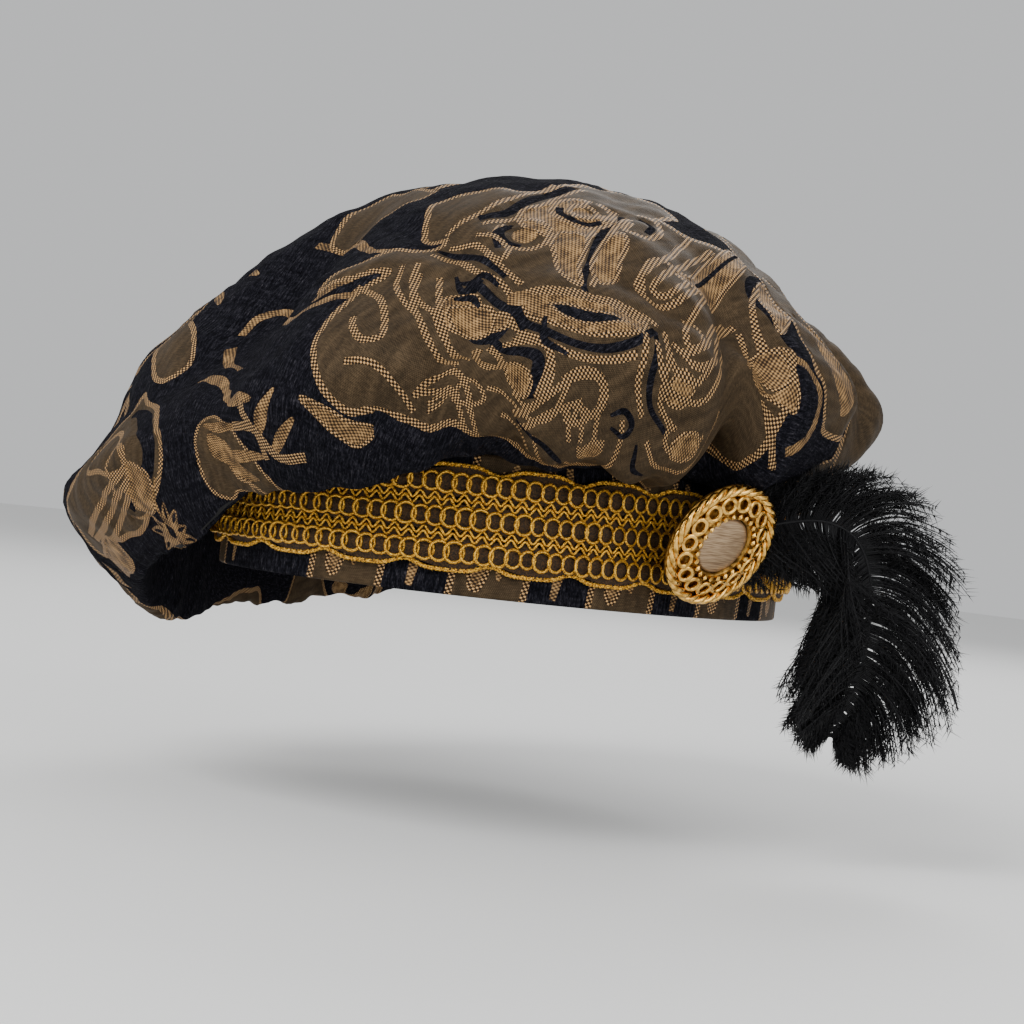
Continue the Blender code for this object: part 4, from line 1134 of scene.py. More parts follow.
# %% A kit for finishes
class Finish:
    """A material under construction: each call adds one node and gives back its output."""

    def __init__(self, name, colour, roughness, metallic=0.0, flat=True, **more):
        self.material = bpy.data.materials.new(name)
        self.material.use_nodes = True
        self.nodes, self.links = self.material.node_tree.nodes, self.material.node_tree.links
        self.shader = self.nodes["Principled BSDF"]
        self.shader.inputs["Base Color"].default_value = (*colour, 1.0)
        self.shader.inputs["Roughness"].default_value = roughness
        self.shader.inputs["Metallic"].default_value = metallic
        for socket, value in more.items():
            self.shader.inputs[socket.replace("_", " ")].default_value = value
        self.material.diffuse_color = (*colour, 1.0)
        self.place = self.nodes.new("ShaderNodeTexCoord").outputs["UV" if flat else "Object"]

    def put(self, socket, value):
        if hasattr(value, "is_linked"):
            self.links.new(value, socket)
        else:
            socket.default_value = value

    def stretch(self, x, y, z=1.0, turn=0.0):
        """The pattern's place, measured in units of x, y and z millimetres."""
        node = self.nodes.new("ShaderNodeMapping")
        self.links.new(self.place, node.inputs["Vector"])
        node.inputs["Rotation"].default_value = (0.0, 0.0, turn)
        node.inputs["Scale"].default_value = (1000.0 / x, 1000.0 / y, 1000.0 / z)
        return node.outputs["Vector"]

    def noise(self, vector, scale=1.0, detail=2.0, roughness=0.5):
        node = self.nodes.new("ShaderNodeTexNoise")
        self.links.new(vector, node.inputs["Vector"])
        for name, value in (("Scale", scale), ("Detail", detail), ("Roughness", roughness)):
            node.inputs[name].default_value = value
        return node.outputs["Fac"]

    def math(self, operation, first, second=0.0):
        node = self.nodes.new("ShaderNodeMath")
        node.operation = operation
        self.put(node.inputs[0], first)
        self.put(node.inputs[1], second)
        return node.outputs[0]

    def beads(self, pitch_x, pitch_y, turn=0.0):
        """Rows of round beads, each row set half a pitch along: from -1 between beads to 1 on a bead."""
        node = self.nodes.new("ShaderNodeSeparateXYZ")
        self.links.new(self.stretch(pitch_x / math.tau, pitch_y / math.tau, 1.0, turn), node.inputs[0])
        x, y = (self.math("COSINE", node.outputs[i]) for i in (0, 1))
        return self.math("MULTIPLY", x, y)

    def ramp(self, value, *stops):
        node = self.nodes.new("ShaderNodeValToRGB")
        self.links.new(value, node.inputs["Fac"])
        elements = node.color_ramp.elements
        while len(elements) < len(stops):
            elements.new(0.5)
        for element, (place, colour) in zip(elements, stops):
            element.position = place
            element.color = (*colour, 1.0)
        return node.outputs["Color"]

    def colour(self, value):
        self.put(self.shader.inputs["Base Color"], value)

    def bump(self, height, distance, strength=1.0):
        node = self.nodes.new("ShaderNodeBump")
        self.links.new(height, node.inputs["Height"])
        node.inputs["Distance"].default_value = distance
        node.inputs["Strength"].default_value = strength
        self.links.new(node.outputs["Normal"], self.shader.inputs["Normal"])


print("finish kit: noise, rows of beads, colour ramp and bump")

# %% [markdown]
# Five finishes make the brocade: black chenille pile, bronze satin, gold twill, the gold outline cord and
# the cloth's wrong side, which is painted near black as shade. Chenille is fuzzy and takes the light in
# streaks, and its lightest streaks are painted sheen. Metal thread is bright only where each small stitch
# turns to the light, so its colour follows the same beads as its bump: a painted highlight on each bead and
# painted shade between them.

# %% The brocade's finishes
def pile_finish():
    """Black chenille: short streaks of pile that lie front to back, with lighter flecks that are partly painted
    sheen.
    """
    finish = Finish("chenille_pile", (0.008, 0.008, 0.011), 1.0, Specular_IOR_Level=0.05)
    streaks = finish.noise(finish.stretch(0.75, 4.2), 1.0, 3.0, 0.65)
    flecks = finish.noise(finish.stretch(0.30, 0.9), 1.0, 1.0)
    ribs = finish.noise(finish.stretch(9.0, 1.5), 1.0, 1.0)
    mixed = finish.math("ADD", finish.math("MULTIPLY", streaks, 0.55), finish.math("MULTIPLY", flecks, 0.30))
    mixed = finish.math("ADD", mixed, finish.math("MULTIPLY", ribs, 0.15))
    depths = ((0.38, (0.0016, 0.0016, 0.0024)), (0.50, (0.0060, 0.0060, 0.0088)))
    # painted sheen: the light stops stand in for light caught by the pile's tips; the dark ones are its own
    # colour
    painted_sheen_tips = ((0.60, (0.022, 0.021, 0.027)), (0.72, (0.085, 0.080, 0.088)))
    finish.colour(finish.ramp(mixed, *depths, *painted_sheen_tips))
    finish.bump(mixed, 0.0016, 1.0)
    return finish.material


def satin_finish():
    """Bronze satin: fine cross ribs of dull metallic thread."""
    finish = Finish("bronze_satin", (0.052, 0.035, 0.018), 0.68, 0.30, Specular_IOR_Level=0.15)
    beads = finish.beads(0.62, 1.1)
    cloud = finish.noise(finish.stretch(3.0, 14.0), 1.0, 2.0)
    fine = finish.noise(finish.stretch(2.4, 0.45), 1.0, 2.0)
    cloud = finish.math("ADD", finish.math("MULTIPLY", cloud, 0.5), finish.math("MULTIPLY", fine, 0.5))
    mixed = finish.math("ADD", finish.math("MULTIPLY", beads, 0.13), cloud)
    bronze = ((0.26, (0.014, 0.0085, 0.0040)), (0.50, (0.042, 0.027, 0.0132)), (0.74, (0.092, 0.060, 0.031)))
    finish.colour(finish.ramp(mixed, *bronze))
    finish.bump(mixed, 0.0003, 0.6)
    return finish.material


def thread_finish():
    """Gold outline cord: cream beads on a dark brown core, a painted highlight on each bead and painted shade
    between.
    """
    finish = Finish("gold_cord", (0.30, 0.18, 0.07), 0.56, 0.35, Specular_IOR_Level=0.20)
    mixed = finish.math("ADD", finish.math("MULTIPLY", finish.beads(1.75, 1.35, 0.35), 0.5), 0.5)
    # painted light: the ramp paints each bead's top as a highlight and the gap between beads as shade
    cord = ((0.42, (0.012, 0.006, 0.002)), (0.56, (0.130, 0.070, 0.026)), (0.74, (0.56, 0.34, 0.150)))
    finish.colour(finish.ramp(mixed, *cord))
    finish.bump(mixed, 0.0005, 0.8)
    return finish.material


def gold_finish():
    """Gold twill: short slanted stitches of the same thread, closer and duller, with painted highlights and
    shade.
    """
    finish = Finish("gold_twill", (0.16, 0.095, 0.038), 0.60, 0.32, Specular_IOR_Level=0.18)
    stitches = finish.math("MULTIPLY", finish.beads(1.9, 1.15, 0.20), 0.34)
    cloud = finish.noise(finish.stretch(3.5, 5.0), 1.0, 2.0)
    mixed = finish.math("ADD", stitches, cloud)
    # painted light: the ramp paints a highlight on each stitch and shade between the stitches
    twill = ((0.24, (0.016, 0.008, 0.003)), (0.50, (0.125, 0.070, 0.028)), (0.80, (0.40, 0.240, 0.100)))
    finish.colour(finish.ramp(mixed, *twill))
    finish.bump(mixed, 0.0004, 0.7)
    return finish.material


def wrong_side_painted_shade_finish():
    """The back of the brocade, which shows only inside the crown: loose floats, painted near black as shade."""
    # painted shade: the near-black colour stands in for the shadow inside the crown and in its folds
    finish = Finish("brocade_wrong_side_painted_shade", (0.005, 0.004, 0.004), 0.95)
    floats = finish.noise(finish.stretch(2.0, 0.2), 1.0, 2.0)
    finish.bump(floats, 0.0003, 0.5)
    return finish.material


BROCADE = [pile_finish(), satin_finish(), gold_finish(), thread_finish(), wrong_side_painted_shade_finish()]
print("brocade finishes:", [m.name for m in BROCADE])

# %% [markdown]
# Every shape from here on ends as a mesh object: points, faces, a material for each face and, for cloth, its
# flat place as UV. One function makes them all, and turns every face outwards.

# %% Make a mesh piece
def make_piece(name, points, faces, materials, which=None, flat=None, weld=0.0):
    """A smooth mesh object with its material of each face and its flat coordinates."""
    mesh = bpy.data.meshes.new(name)
    mesh.from_pydata(points.tolist(), [], [list(map(int, f)) for f in faces])
    for material in materials:
        mesh.materials.append(material)
    if which is not None:
        mesh.polygons.foreach_set("material_index", np.asarray(which, np.int32))
    if flat is not None:
        layer = mesh.uv_layers.new(name="cloth")
        corner = np.empty(len(mesh.loops), np.int32)
        mesh.loops.foreach_get("vertex_index", corner)
        layer.data.foreach_set("uv", (flat[corner] * 0.001).astype(np.float32).ravel())
    mesh.shade_smooth()
    shape = bmesh.new()
    shape.from_mesh(mesh)
    if weld:
        bmesh.ops.remove_doubles(shape, verts=shape.verts, dist=weld)
    bmesh.ops.recalc_face_normals(shape, faces=shape.faces)
    shape.to_mesh(mesh)
    shape.free()
    piece = bpy.data.objects.new(name, mesh)
    bpy.context.scene.collection.objects.link(piece)
    return piece


print("every piece is smooth shaded, with its faces turned outwards")

# %% [markdown]
# Cloth has a thickness, which shows where it folds and at the mouth of the crown. A coarser inner face gives
# it one. It is joined to the outer face at the seam, and goes deep enough that no fold of the outer face
# comes through it. In the narrow bag at the low edge it lies close, so that the two walls stay apart.

# %% The crown's inner face
INNER_COLUMNS, INNER_RINGS = 240, 40
INNER_LEAST_REACH = 0.02
LOOK_ROUND, LOOK_DOWN, LOOKS = 1.6, 7.0, 5
THINNEST_CLOTH, CLOTH_GAIN, MOST_GAIN = 0.0003, 0.015, 0.0009
TOP_DEPTH = 0.0036


def lining_depth(flat_xy):
    """How far inside the outer face the inner one lies, from the deepest fold nearby."""
    own = cloth_depth(flat_xy)
    heading = np.arctan2(flat_xy[:, 0], -flat_xy[:, 1])
    reach = np.hypot(flat_xy[:, 0], flat_xy[:, 1])
    deepest = own.copy()
    for turn in np.radians(np.linspace(-LOOK_ROUND, LOOK_ROUND, LOOKS)):
        for step in np.linspace(-1.0, 1.0, LOOKS):
            moved = np.maximum(reach + step * LOOK_DOWN, 1.0)
            beside = np.column_stack([moved * np.sin(heading + turn), -moved * np.cos(heading + turn)])
            deepest = np.maximum(deepest, cloth_depth(beside))
    share = place_of(flat_xy)[1]
    thickness = THINNEST_CLOTH + np.minimum(np.abs(share - LOW_EDGE) * CLOTH_GAIN, MOST_GAIN)
    return thickness + (deepest - own) * (1.0 - smooth_step(0.40, 0.56, share))


def inner_face(rim_flat, rim, start):
    """The flat points of the inner face, its topmost point, its faces with the strip to the seam, its cap."""
    picked = np.round(np.linspace(0, len(rim), INNER_COLUMNS, endpoint=False)).astype(int)
    reach = np.linspace(1.0, INNER_LEAST_REACH, INNER_RINGS)
    lining = (rim_flat[picked][None] * reach[:, None, None]).reshape(-1, 2)
    grid = start + np.arange(INNER_RINGS * INNER_COLUMNS).reshape(INNER_RINGS, INNER_COLUMNS)
    strip = []
    for j, begin in enumerate(picked):
        end = picked[j + 1] if j + 1 < INNER_COLUMNS else len(rim)
        inner, after = grid[0, j], grid[0, (j + 1) % INNER_COLUMNS]
        strip += [(rim[k], rim[(k + 1) % len(rim)], inner) for k in range(begin, end)]
        strip.append((rim[end % len(rim)], after, inner))
    for a, b in zip(grid, grid[1:]):
        strip += list(np.column_stack([a, np.roll(a, -1), np.roll(b, -1), b]))
    cap = start + grid.size
    fan = list(np.column_stack([grid[-1], np.roll(grid[-1], -1), np.full(INNER_COLUMNS, cap)]))
    return lining, on_crown(np.array([[0.0, -0.01]]), TOP_DEPTH), strip, fan


print("inner face:", INNER_COLUMNS, "columns and", INNER_RINGS, "rings")

# %% [markdown]
# The crown's cloth is woven flat, then each of its points goes to its place on the puff. The open parts of
# the satin are padded most, pile and cord stand a little less proud, and the gold twill lies lowest.

# %% The crown
PILE_STANDS, SATIN_STANDS, CORD_STANDS = 0.00035, 0.00055, 0.00030
RIM_POINTS = 480
FIGURE_REACH = 0.985


def standing(faces, cloth, count):
    """How far each point stands out of the cloth's plane, by the cloths that meet at it."""
    pile, satin, cord = (CLOTHS.index(name) for name in (PILE, SATIN, THREAD))
    raised = np.full(count, PILE_STANDS)
    plain = np.ones(count, bool)
    plain[np.unique(faces[cloth != satin])] = False
    raised[np.unique(faces[cloth != pile])] = 0.0
    raised[plain] = SATIN_STANDS
    raised[np.unique(faces[cloth == cord])] = CORD_STANDS
    return raised


def crown_piece():
    """The whole crown: the woven outer face, the inner face and the seam between them."""
    heading = np.linspace(0.0, 360.0, RIM_POINTS, endpoint=False)
    angle = np.radians(heading)
    boundary = seam_reach(heading)[:, None] * np.column_stack([np.sin(angle), -np.cos(angle)])
    spacing = 2.6
    flat, faces, cloth = weave(boundary, within(figure.pieces, FIGURE_REACH), spacing)
    raised = standing(faces, cloth, len(flat))
    edge_pairs = np.sort(np.vstack([faces[:, [0, 1]], faces[:, [1, 2]], faces[:, [2, 0]]]), axis=1)
    pairs, counts = np.unique(edge_pairs, axis=0, return_counts=True)
    rim = np.unique(pairs[counts == 1])
    raised[rim] = 0.0
    outer = on_crown(flat, -raised)
    rim = rim[np.argsort(np.arctan2(flat[rim, 0], -flat[rim, 1]))]
    lining, top_point, strip, fan = inner_face(flat[rim], rim, len(outer))
    points = np.vstack([outer, on_crown(lining, lining_depth(lining)), top_point])
    flat = np.vstack([flat, lining, [[0.0, 0.0]]])
    walls = [*strip, *fan]
    # the inner face takes the wrong side's finish, painted near black as shade
    which = np.concatenate([cloth, np.full(len(walls), len(CLOTHS))])
    piece = make_piece("crown_brocade", points, [*faces, *walls], BROCADE, which, flat)
    inside = sum(len(face) - 2 for face in walls)
    print("crown:", len(faces), "triangles outside,", inside, "inside, in all", len(faces) + inside)
    return piece


crown = crown_piece()
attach(crown, "root")
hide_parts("crown")
crown_area = sum(p.area for p in crown.data.polygons)
print("crown's cloth, half of the closed shell:", round(crown_area / 2, 4), "m2")

# %% [markdown]
# The headband is a strip of the same brocade folded over a flat band. Its surface unrolls to a rectangle:
# along it runs the way round the head, and across it the way up the outer face and down the inner one.

# %% The headband's cover
BAND_PROFILE = np.array([
    # offset from the head, height
    (0.0, 0.021), (0.0, 0.0008), (0.00023, 0.00023), (0.0008, 0.0), (0.0022, 0.0), (0.00277, 0.00023),
    (0.003, 0.0008), (0.003, 0.0412), (0.00277, 0.04177), (0.0022, 0.042), (0.0008, 0.042),
    (0.00023, 0.04177), (0.0, 0.0412), (0.0, 0.021),
])
BAND_BLOCKS, BLOCK_START, BLOCK_PITCH = 13, 18.0, 43.0
WELD_DISTANCE = 2e-6


def round_the_band(offset, count=1440):
    """Headings at even steps of length round the oval, and the length in metres."""
    headings = np.linspace(0.0, 360.0, count + 1)
    x, y = oval_xy(headings, offset)
    lengths = np.concatenate([[0.0], np.cumsum(np.hypot(np.diff(x), np.diff(y)))])
    return headings, lengths


def band_figure(low, high):
    """Slanting bronze blocks with gold leaves, and a gold bar between each two."""
    strip = Figure()
    for block in range(BAND_BLOCKS):
        at = BLOCK_START + block * BLOCK_PITCH
        corners = ((at, low), (at + 22, low), (at + 29, high), (at + 6, high))
        strip.area(SATIN, *[corner for corner in corners for _ in range(2)], edging=1.4)
        strip.band(
            GOLD, [2.0, 4.5, 2.0], (at + 32, low + 8), (at + 35, (low + high) / 2), (at + 33, high - 8),
        )
        strip.leaf(GOLD, at + 8, low + 9, at + 14, high - 12, 7, edging=1.0)
        strip.leaf(GOLD, at + 17, high - 9, at + 15, low + 12, 5)
    return strip.pieces


def headband_piece():
    """The strip of brocade, woven flat and folded over the band. Its two long edges meet inside."""
    headings, lengths = round_the_band(BAND_WALL)
    across = np.concatenate([[0.0], np.cumsum(np.hypot(*np.diff(BAND_PROFILE, axis=0).T))]) * 1000.0
    long, wide = lengths[-1] * 1000.0, across[-1]
    steps_long, steps_wide = 240, 30
    s = np.linspace(0.0, long, steps_long + 1)
    boundary = np.vstack([
        np.column_stack([s[:-1], np.zeros(steps_long)]),
        np.column_stack([np.full(steps_wide, long), np.linspace(0, wide, steps_wide, endpoint=False)]),
        np.column_stack([s[:0:-1], np.full(steps_long, wide)]),
        np.column_stack([np.zeros(steps_wide), np.linspace(wide, 0, steps_wide, endpoint=False)]),
    ])
    folds = [np.column_stack([s[1:-1], np.full(steps_long - 1, place)]) for place in across[1:-1]]
    drawn = band_figure(across[2] - 4.0, across[-3] + 4.0)
    flat, faces, cloth = weave(boundary, drawn, 2.6, 0.7, folds)
    heading = np.interp(flat[:, 0] / 1000.0, lengths, headings)
    offset, height = (np.interp(flat[:, 1], across, BAND_PROFILE[:, i]) for i in (0, 1))
    x, y = oval_xy(heading, offset)
    points = np.column_stack([x, y, height])
    return make_piece("headband_brocade", points, faces, BROCADE[:4], cloth, flat, weld=WELD_DISTANCE)


headband = headband_piece()
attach(headband, "root")
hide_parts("headband")
band_area = sum(p.area for p in headband.data.polygons)
print("headband's cover:", round(band_area, 4), "m2, half of it:", round(band_area / 2, 4))

# %% [markdown]
# Things that repeat are set out by one small Geometry Nodes tree. It puts a copy of an object on every
# point of a mesh, turned and sized by the point's own attributes, and makes real geometry of the copies.
# A second tree sweeps a round thread along lines. Both end as plain meshes.

# %% Geometry Nodes: copies on points, and thread along lines
def new_tree(name, *sockets):
    """An empty tree with named inputs and one Geometry output."""
    tree = bpy.data.node_groups.new(name, "GeometryNodeTree")
    for socket, kind in sockets:
        tree.interface.new_socket(socket, in_out="INPUT", socket_type=kind)
    tree.interface.new_socket("Geometry", in_out="OUTPUT", socket_type="NodeSocketGeometry")
    return tree, tree.nodes.new("NodeGroupInput").outputs, tree.nodes.new("NodeGroupOutput").inputs


def attribute_node(tree, name, kind):
    """Reads one of the source mesh's own attributes."""
    node = tree.nodes.new("GeometryNodeInputNamedAttribute")
    node.data_type = kind
    node.inputs["Name"].default_value = name
    return node.outputs["Attribute"]


def copies_tree():
    """Points in, one turned and sized copy on each out, as real geometry."""
    tree, given, result = new_tree(
        "copies_on_points",
        ("Points", "NodeSocketGeometry"),
        ("Copy", "NodeSocketObject"),
        ("Size", "NodeSocketFloat"),
        ("Material", "NodeSocketMaterial"),
    )
    join = tree.links.new
    info = tree.nodes.new("GeometryNodeObjectInfo")
    place = tree.nodes.new("GeometryNodeInstanceOnPoints")
    size = tree.nodes.new("ShaderNodeVectorMath")
    size.operation = "SCALE"
    turn = tree.nodes.new("FunctionNodeEulerToRotation")
    real = tree.nodes.new("GeometryNodeRealizeInstances")
    dress = tree.nodes.new("GeometryNodeSetMaterial")
    join(given["Copy"], info.inputs["Object"])
    join(given["Points"], place.inputs["Points"])
    join(info.outputs["Geometry"], place.inputs["Instance"])
    join(attribute_node(tree, "turn", "FLOAT_VECTOR"), turn.inputs[0])
    join(turn.outputs[0], place.inputs["Rotation"])
    join(attribute_node(tree, "size", "FLOAT_VECTOR"), size.inputs[0])
    join(given["Size"], size.inputs["Scale"])
    join(size.outputs[0], place.inputs["Scale"])
    join(place.outputs["Instances"], real.inputs[0])
    join(real.outputs[0], dress.inputs["Geometry"])
    join(given["Material"], dress.inputs["Material"])
    join(dress.outputs[0], result["Geometry"])
    return tree


def thread_tree():
    """Lines in, round thread along them out. Each point's radius attribute scales the thread's section."""
    tree, given, result = new_tree(
        "thread_along_lines",
        ("Lines", "NodeSocketGeometry"),
        ("Thickness", "NodeSocketFloat"),
        ("Sides", "NodeSocketInt"),
        ("Material", "NodeSocketMaterial"),
    )
    join = tree.links.new
    curve = tree.nodes.new("GeometryNodeMeshToCurve")
    circle = tree.nodes.new("GeometryNodeCurvePrimitiveCircle")
    sweep = tree.nodes.new("GeometryNodeCurveToMesh")
    smooth = tree.nodes.new("GeometryNodeSetShadeSmooth")
    dress = tree.nodes.new("GeometryNodeSetMaterial")
    real = tree.nodes.new("GeometryNodeRealizeInstances")
    join(given["Lines"], curve.inputs["Mesh"])
    join(curve.outputs["Curve"], sweep.inputs["Curve"])
    join(attribute_node(tree, "radius", "FLOAT"), sweep.inputs["Scale"])
    join(given["Thickness"], circle.inputs["Radius"])
    join(given["Sides"], circle.inputs["Resolution"])
    join(circle.outputs["Curve"], sweep.inputs["Profile Curve"])
    sweep.inputs["Fill Caps"].default_value = True
    join(sweep.outputs["Mesh"], smooth.inputs["Geometry"])
    join(smooth.outputs[0], real.inputs[0])
    join(real.outputs[0], dress.inputs["Geometry"])
    join(given["Material"], dress.inputs["Material"])
    join(dress.outputs[0], result["Geometry"])
    return tree


COPIES, THREADS = copies_tree(), thread_tree()
print("node trees:", COPIES.name, "and", THREADS.name)

# %% [markdown]
# A tree needs a source to work on: a mesh of loose points with their turns and sizes, or a mesh of lines with
# a radius at each point. These functions make the sources, run the trees and keep plain meshes.

# %% Run the trees
def grow(name, source, tree, inputs):
    """Runs a tree on a source mesh and keeps the result as a plain mesh object."""
    holder = bpy.data.objects.new(name + "_source", source)
    bpy.context.scene.collection.objects.link(holder)
    modifier = holder.modifiers.new("grow", "NODES")
    modifier.node_group = tree
    for item in tree.interface.items_tree:
        if item.item_type == "SOCKET" and item.in_out == "INPUT" and item.name in inputs:
            modifier[item.identifier] = inputs[item.name]
    graph = bpy.context.evaluated_depsgraph_get()
    mesh = bpy.data.meshes.new_from_object(holder.evaluated_get(graph))
    bpy.data.objects.remove(holder)
    mesh.name = name
    piece = bpy.data.objects.new(name, mesh)
    bpy.context.scene.collection.objects.link(piece)
    return piece


def set_out(name, copy, places, turns, sizes, material):
    """Copies of one small object at many places."""
    source = bpy.data.meshes.new(name + "_points")
    source.from_pydata([tuple(map(float, p)) for p in places], [], [])
    for label, values in (("turn", turns), ("size", sizes)):
        layer = source.attributes.new(label, "FLOAT_VECTOR", "POINT")
        layer.data.foreach_set("vector", np.asarray(values, np.float32).ravel())
    piece = grow(name, source, COPIES, {"Copy": copy, "Size": 1.0, "Material": material})
    bpy.data.objects.remove(copy)
    return piece


def spin_thread(name, lines, radii, material, sides=6, closed=False):
    """Round thread along many lines. radii gives the half thickness in metres at each point of each line."""
    source = bpy.data.meshes.new(name + "_lines")
    points, edges, start = [], [], 0
    for line in lines:
        count = len(line)
        points.extend(map(tuple, np.asarray(line, float).tolist()))
        edges.extend((start + i, start + i + 1) for i in range(count - 1))
        if closed:
            edges.append((start + count - 1, start))
        start += count
    source.from_pydata(points, edges, [])
    layer = source.attributes.new("radius", "FLOAT", "POINT")
    layer.data.foreach_set("value", np.concatenate([np.asarray(r, np.float32).ravel() for r in radii]))
    return grow(name, source, THREADS, {"Thickness": 1.0, "Sides": sides, "Material": material})


def facing_turns(outward, upward, tilt=0.0):
    """Turns that lay a copy's local Z along outward and its local Y along upward, then tilt it about that."""
    turns = []
    for out, up in zip(outward, upward):
        out, up = Vector(out).normalized(), Vector(up)
        up = (up - out * up.dot(out)).normalized()
        matrix = Matrix((up.cross(out), up, out)).transposed()
        matrix = matrix @ Matrix.Rotation(tilt, 3, "Y")
        turns.append(tuple(matrix.to_euler()))
    return turns


def small_ring(name, radius, thickness, around, sides, stretch=1.0):
    """A ring to copy, lying in its own XY plane. thickness is half that of its thread."""
    round_ring, round_thread = (np.arange(count) * math.tau / count for count in (around, sides))
    a, b = np.meshgrid(round_ring, round_thread, indexing="ij")
    reach = radius + thickness * np.cos(b)
    points = np.stack([reach * np.cos(a), stretch * reach * np.sin(a), thickness * np.sin(b)], -1).reshape(
        -1, 3,
    )
    index = np.arange(around * sides).reshape(around, sides)
    c, d = np.roll(index, -1, 0), np.roll(index, -1, 1)
    faces = np.stack([index, c, np.roll(c, -1, 1), d], -1).reshape(-1, 4)
    return make_piece(name, points, faces, [])


print("makers: copies on points, thread along lines, small rings")

# %% [markdown]
# Gold gimp braid is made of thin cord coiled into loops and stitched down in rows. Each row here is a line
# of rings, each tilted so that its front lies over the next ring's back, which is how a flattened coil
# looks. The imported braid stays under them as the dense ground with its gaps, its gold painted very dark as
# the shade under the rings.

# %% The braid
BRAID_MIDDLE = 0.0225
ROW_PITCH = 0.010
RINGS_A_ROW = 140
RING_OFFSET, RING_RADIUS, RING_THREAD, RING_TILT = 0.0064, 0.0028, 0.0005, 14.0


def gimp_finish(name, dark, light, roughness, metallic):
    """Twisted metallic thread: small light and dark flecks."""
    finish = Finish(name, light, roughness, metallic, flat=False)
    twist = finish.noise(finish.stretch(0.45, 0.45, 0.45), 1.0, 2.0)
    brightest = tuple(min(1.0, 1.5 * part) for part in light)
    finish.colour(finish.ramp(twist, (0.36, dark), (0.56, light), (0.72, brightest)))
    finish.bump(twist, 0.0004, 0.8)
    return finish.material


gimp_light = gimp_finish("gold_gimp", (0.20, 0.080, 0.006), (0.78, 0.42, 0.050), 0.36, 0.75)
# painted shade: the braid's ground is the gimp's gold darkened to stand for the shade under the rings
gimp_painted_shade = gimp_finish("gold_gimp_painted_shade", (0.006, 0.003, 0.001), (0.050, 0.023, 0.004), 0.8, 0.2)


def braid_points(count, offset, height, shift=0.0):
    """Places round the braid at even steps, with the way out of the hat at each."""
    headings, lengths = round_the_band(offset)
    wanted = (np.arange(count) + shift) / count * lengths[-1]
    heading = np.interp(wanted % lengths[-1], lengths, headings)
    x, y = oval_xy(heading, offset)
    angle = np.radians(heading)
    outward = np.column_stack([np.sin(angle) / HEAD_HALF_WIDTH, -np.cos(angle) / HEAD_HALF_LENGTH, 0.0 * angle])
    outward /= np.linalg.norm(outward, axis=1)[:, None]
    return np.column_stack([x, y, np.full(count, height)]), outward


rows = [
    braid_points(RINGS_A_ROW, RING_OFFSET, BRAID_MIDDLE + ROW_PITCH * row, shift)
    for row, shift in ((-1, 0.0), (0, 0.5), (1, 0.0))
]
places, outwards = (np.vstack(part) for part in zip(*rows))
rings = set_out(
    "braid_rings",
    small_ring("one_gimp_ring", RING_RADIUS, RING_THREAD, 14, 4),
    places,
    facing_turns(outwards, [(0, 0, 1)] * len(places), tilt=math.radians(RING_TILT)),
    np.random.default_rng(3).uniform(0.90, 1.08, (len(places), 1)) * np.ones(3),
    gimp_light,
)
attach(rings, "root")
print("braid rings:", len(places), "with", len(rings.data.polygons), "faces")

# %% [markdown]
# Finer threads finish the braid: a two-ply cord along each scalloped edge, and two zigzag threads on each
# side of the middle row. Each is a closed line round the band whose height is a wave of the way round.

# %% The braid's edge threads
EDGE_STEPS = 1200
EDGE_THREAD = 0.00042
EDGE_OFFSET, ZIGZAG_OFFSET = 0.0046, 0.0052
SCALLOPS, SCALLOP_REACH, SCALLOP_DIP = 24, 0.0152, 0.0021
TWISTS, TWIST_WIDTH = 260, 0.0004
ZIGZAGS, ZIGZAG_HEIGHT = 140, 0.0011


def braid_thread(heights, offset, wave=0.0):
    """A thread round the braid at given heights, which also winds in and out by wave."""
    spots, out = braid_points(EDGE_STEPS, offset, 0.0)
    spots[:, 2] = heights
    return spots + out * (wave * np.cos(math.tau * TWISTS * way_round))[:, None]


way_round = np.arange(EDGE_STEPS) / EDGE_STEPS
dip = np.cos(math.tau * SCALLOPS * way_round) * 0.5 + 0.5
lines = []
for side in (-1, 1):
    edge = BRAID_MIDDLE + side * (SCALLOP_REACH - SCALLOP_DIP * dip**3)
    for phase in (0.0, 0.5):
        ply = TWIST_WIDTH * np.sin(math.tau * (TWISTS * way_round + phase))
        lines.append(braid_thread(edge + ply, EDGE_OFFSET, TWIST_WIDTH))
    for inner in (0.0058, 0.0042):
        zigzag = inner + ZIGZAG_HEIGHT * np.sin(math.tau * ZIGZAGS * way_round)
        lines.append(braid_thread(BRAID_MIDDLE + side * zigzag, ZIGZAG_OFFSET))
radii = [np.full(EDGE_STEPS, EDGE_THREAD)] * len(lines)
edges = spin_thread("braid_edge_threads", lines, radii, gimp_light, sides=5, closed=True)
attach(edges, "root")


def dress_node(name, material):
    """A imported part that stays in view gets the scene's material in its slots."""
    node = bpy.data.objects[name]
    if not node.material_slots:
        node.data.materials.append(material)
    for slot in node.material_slots:
        slot.material = material


# the imported braid takes the gimp gold darkened as painted shade
dress_node("braid", gimp_painted_shade)
print("braid's edge threads:", len(lines), "with", len(edges.data.polygons), "faces")

# %% [markdown]
# The button stands on the braid at the wearer's left and looks a little down. Its shapes are made about
# their own axis, then one matrix puts them in place. Its metals are gilt: polished on what stands out,
# painted darker in the recess as shade, and brushed brown on the centre.

# %% The button's place and finishes
BUTTON_HEADING, BUTTON_TIP = 84.0, 25.0
BUTTON_HEIGHT, BUTTON_STANDS = 0.024, 0.0165


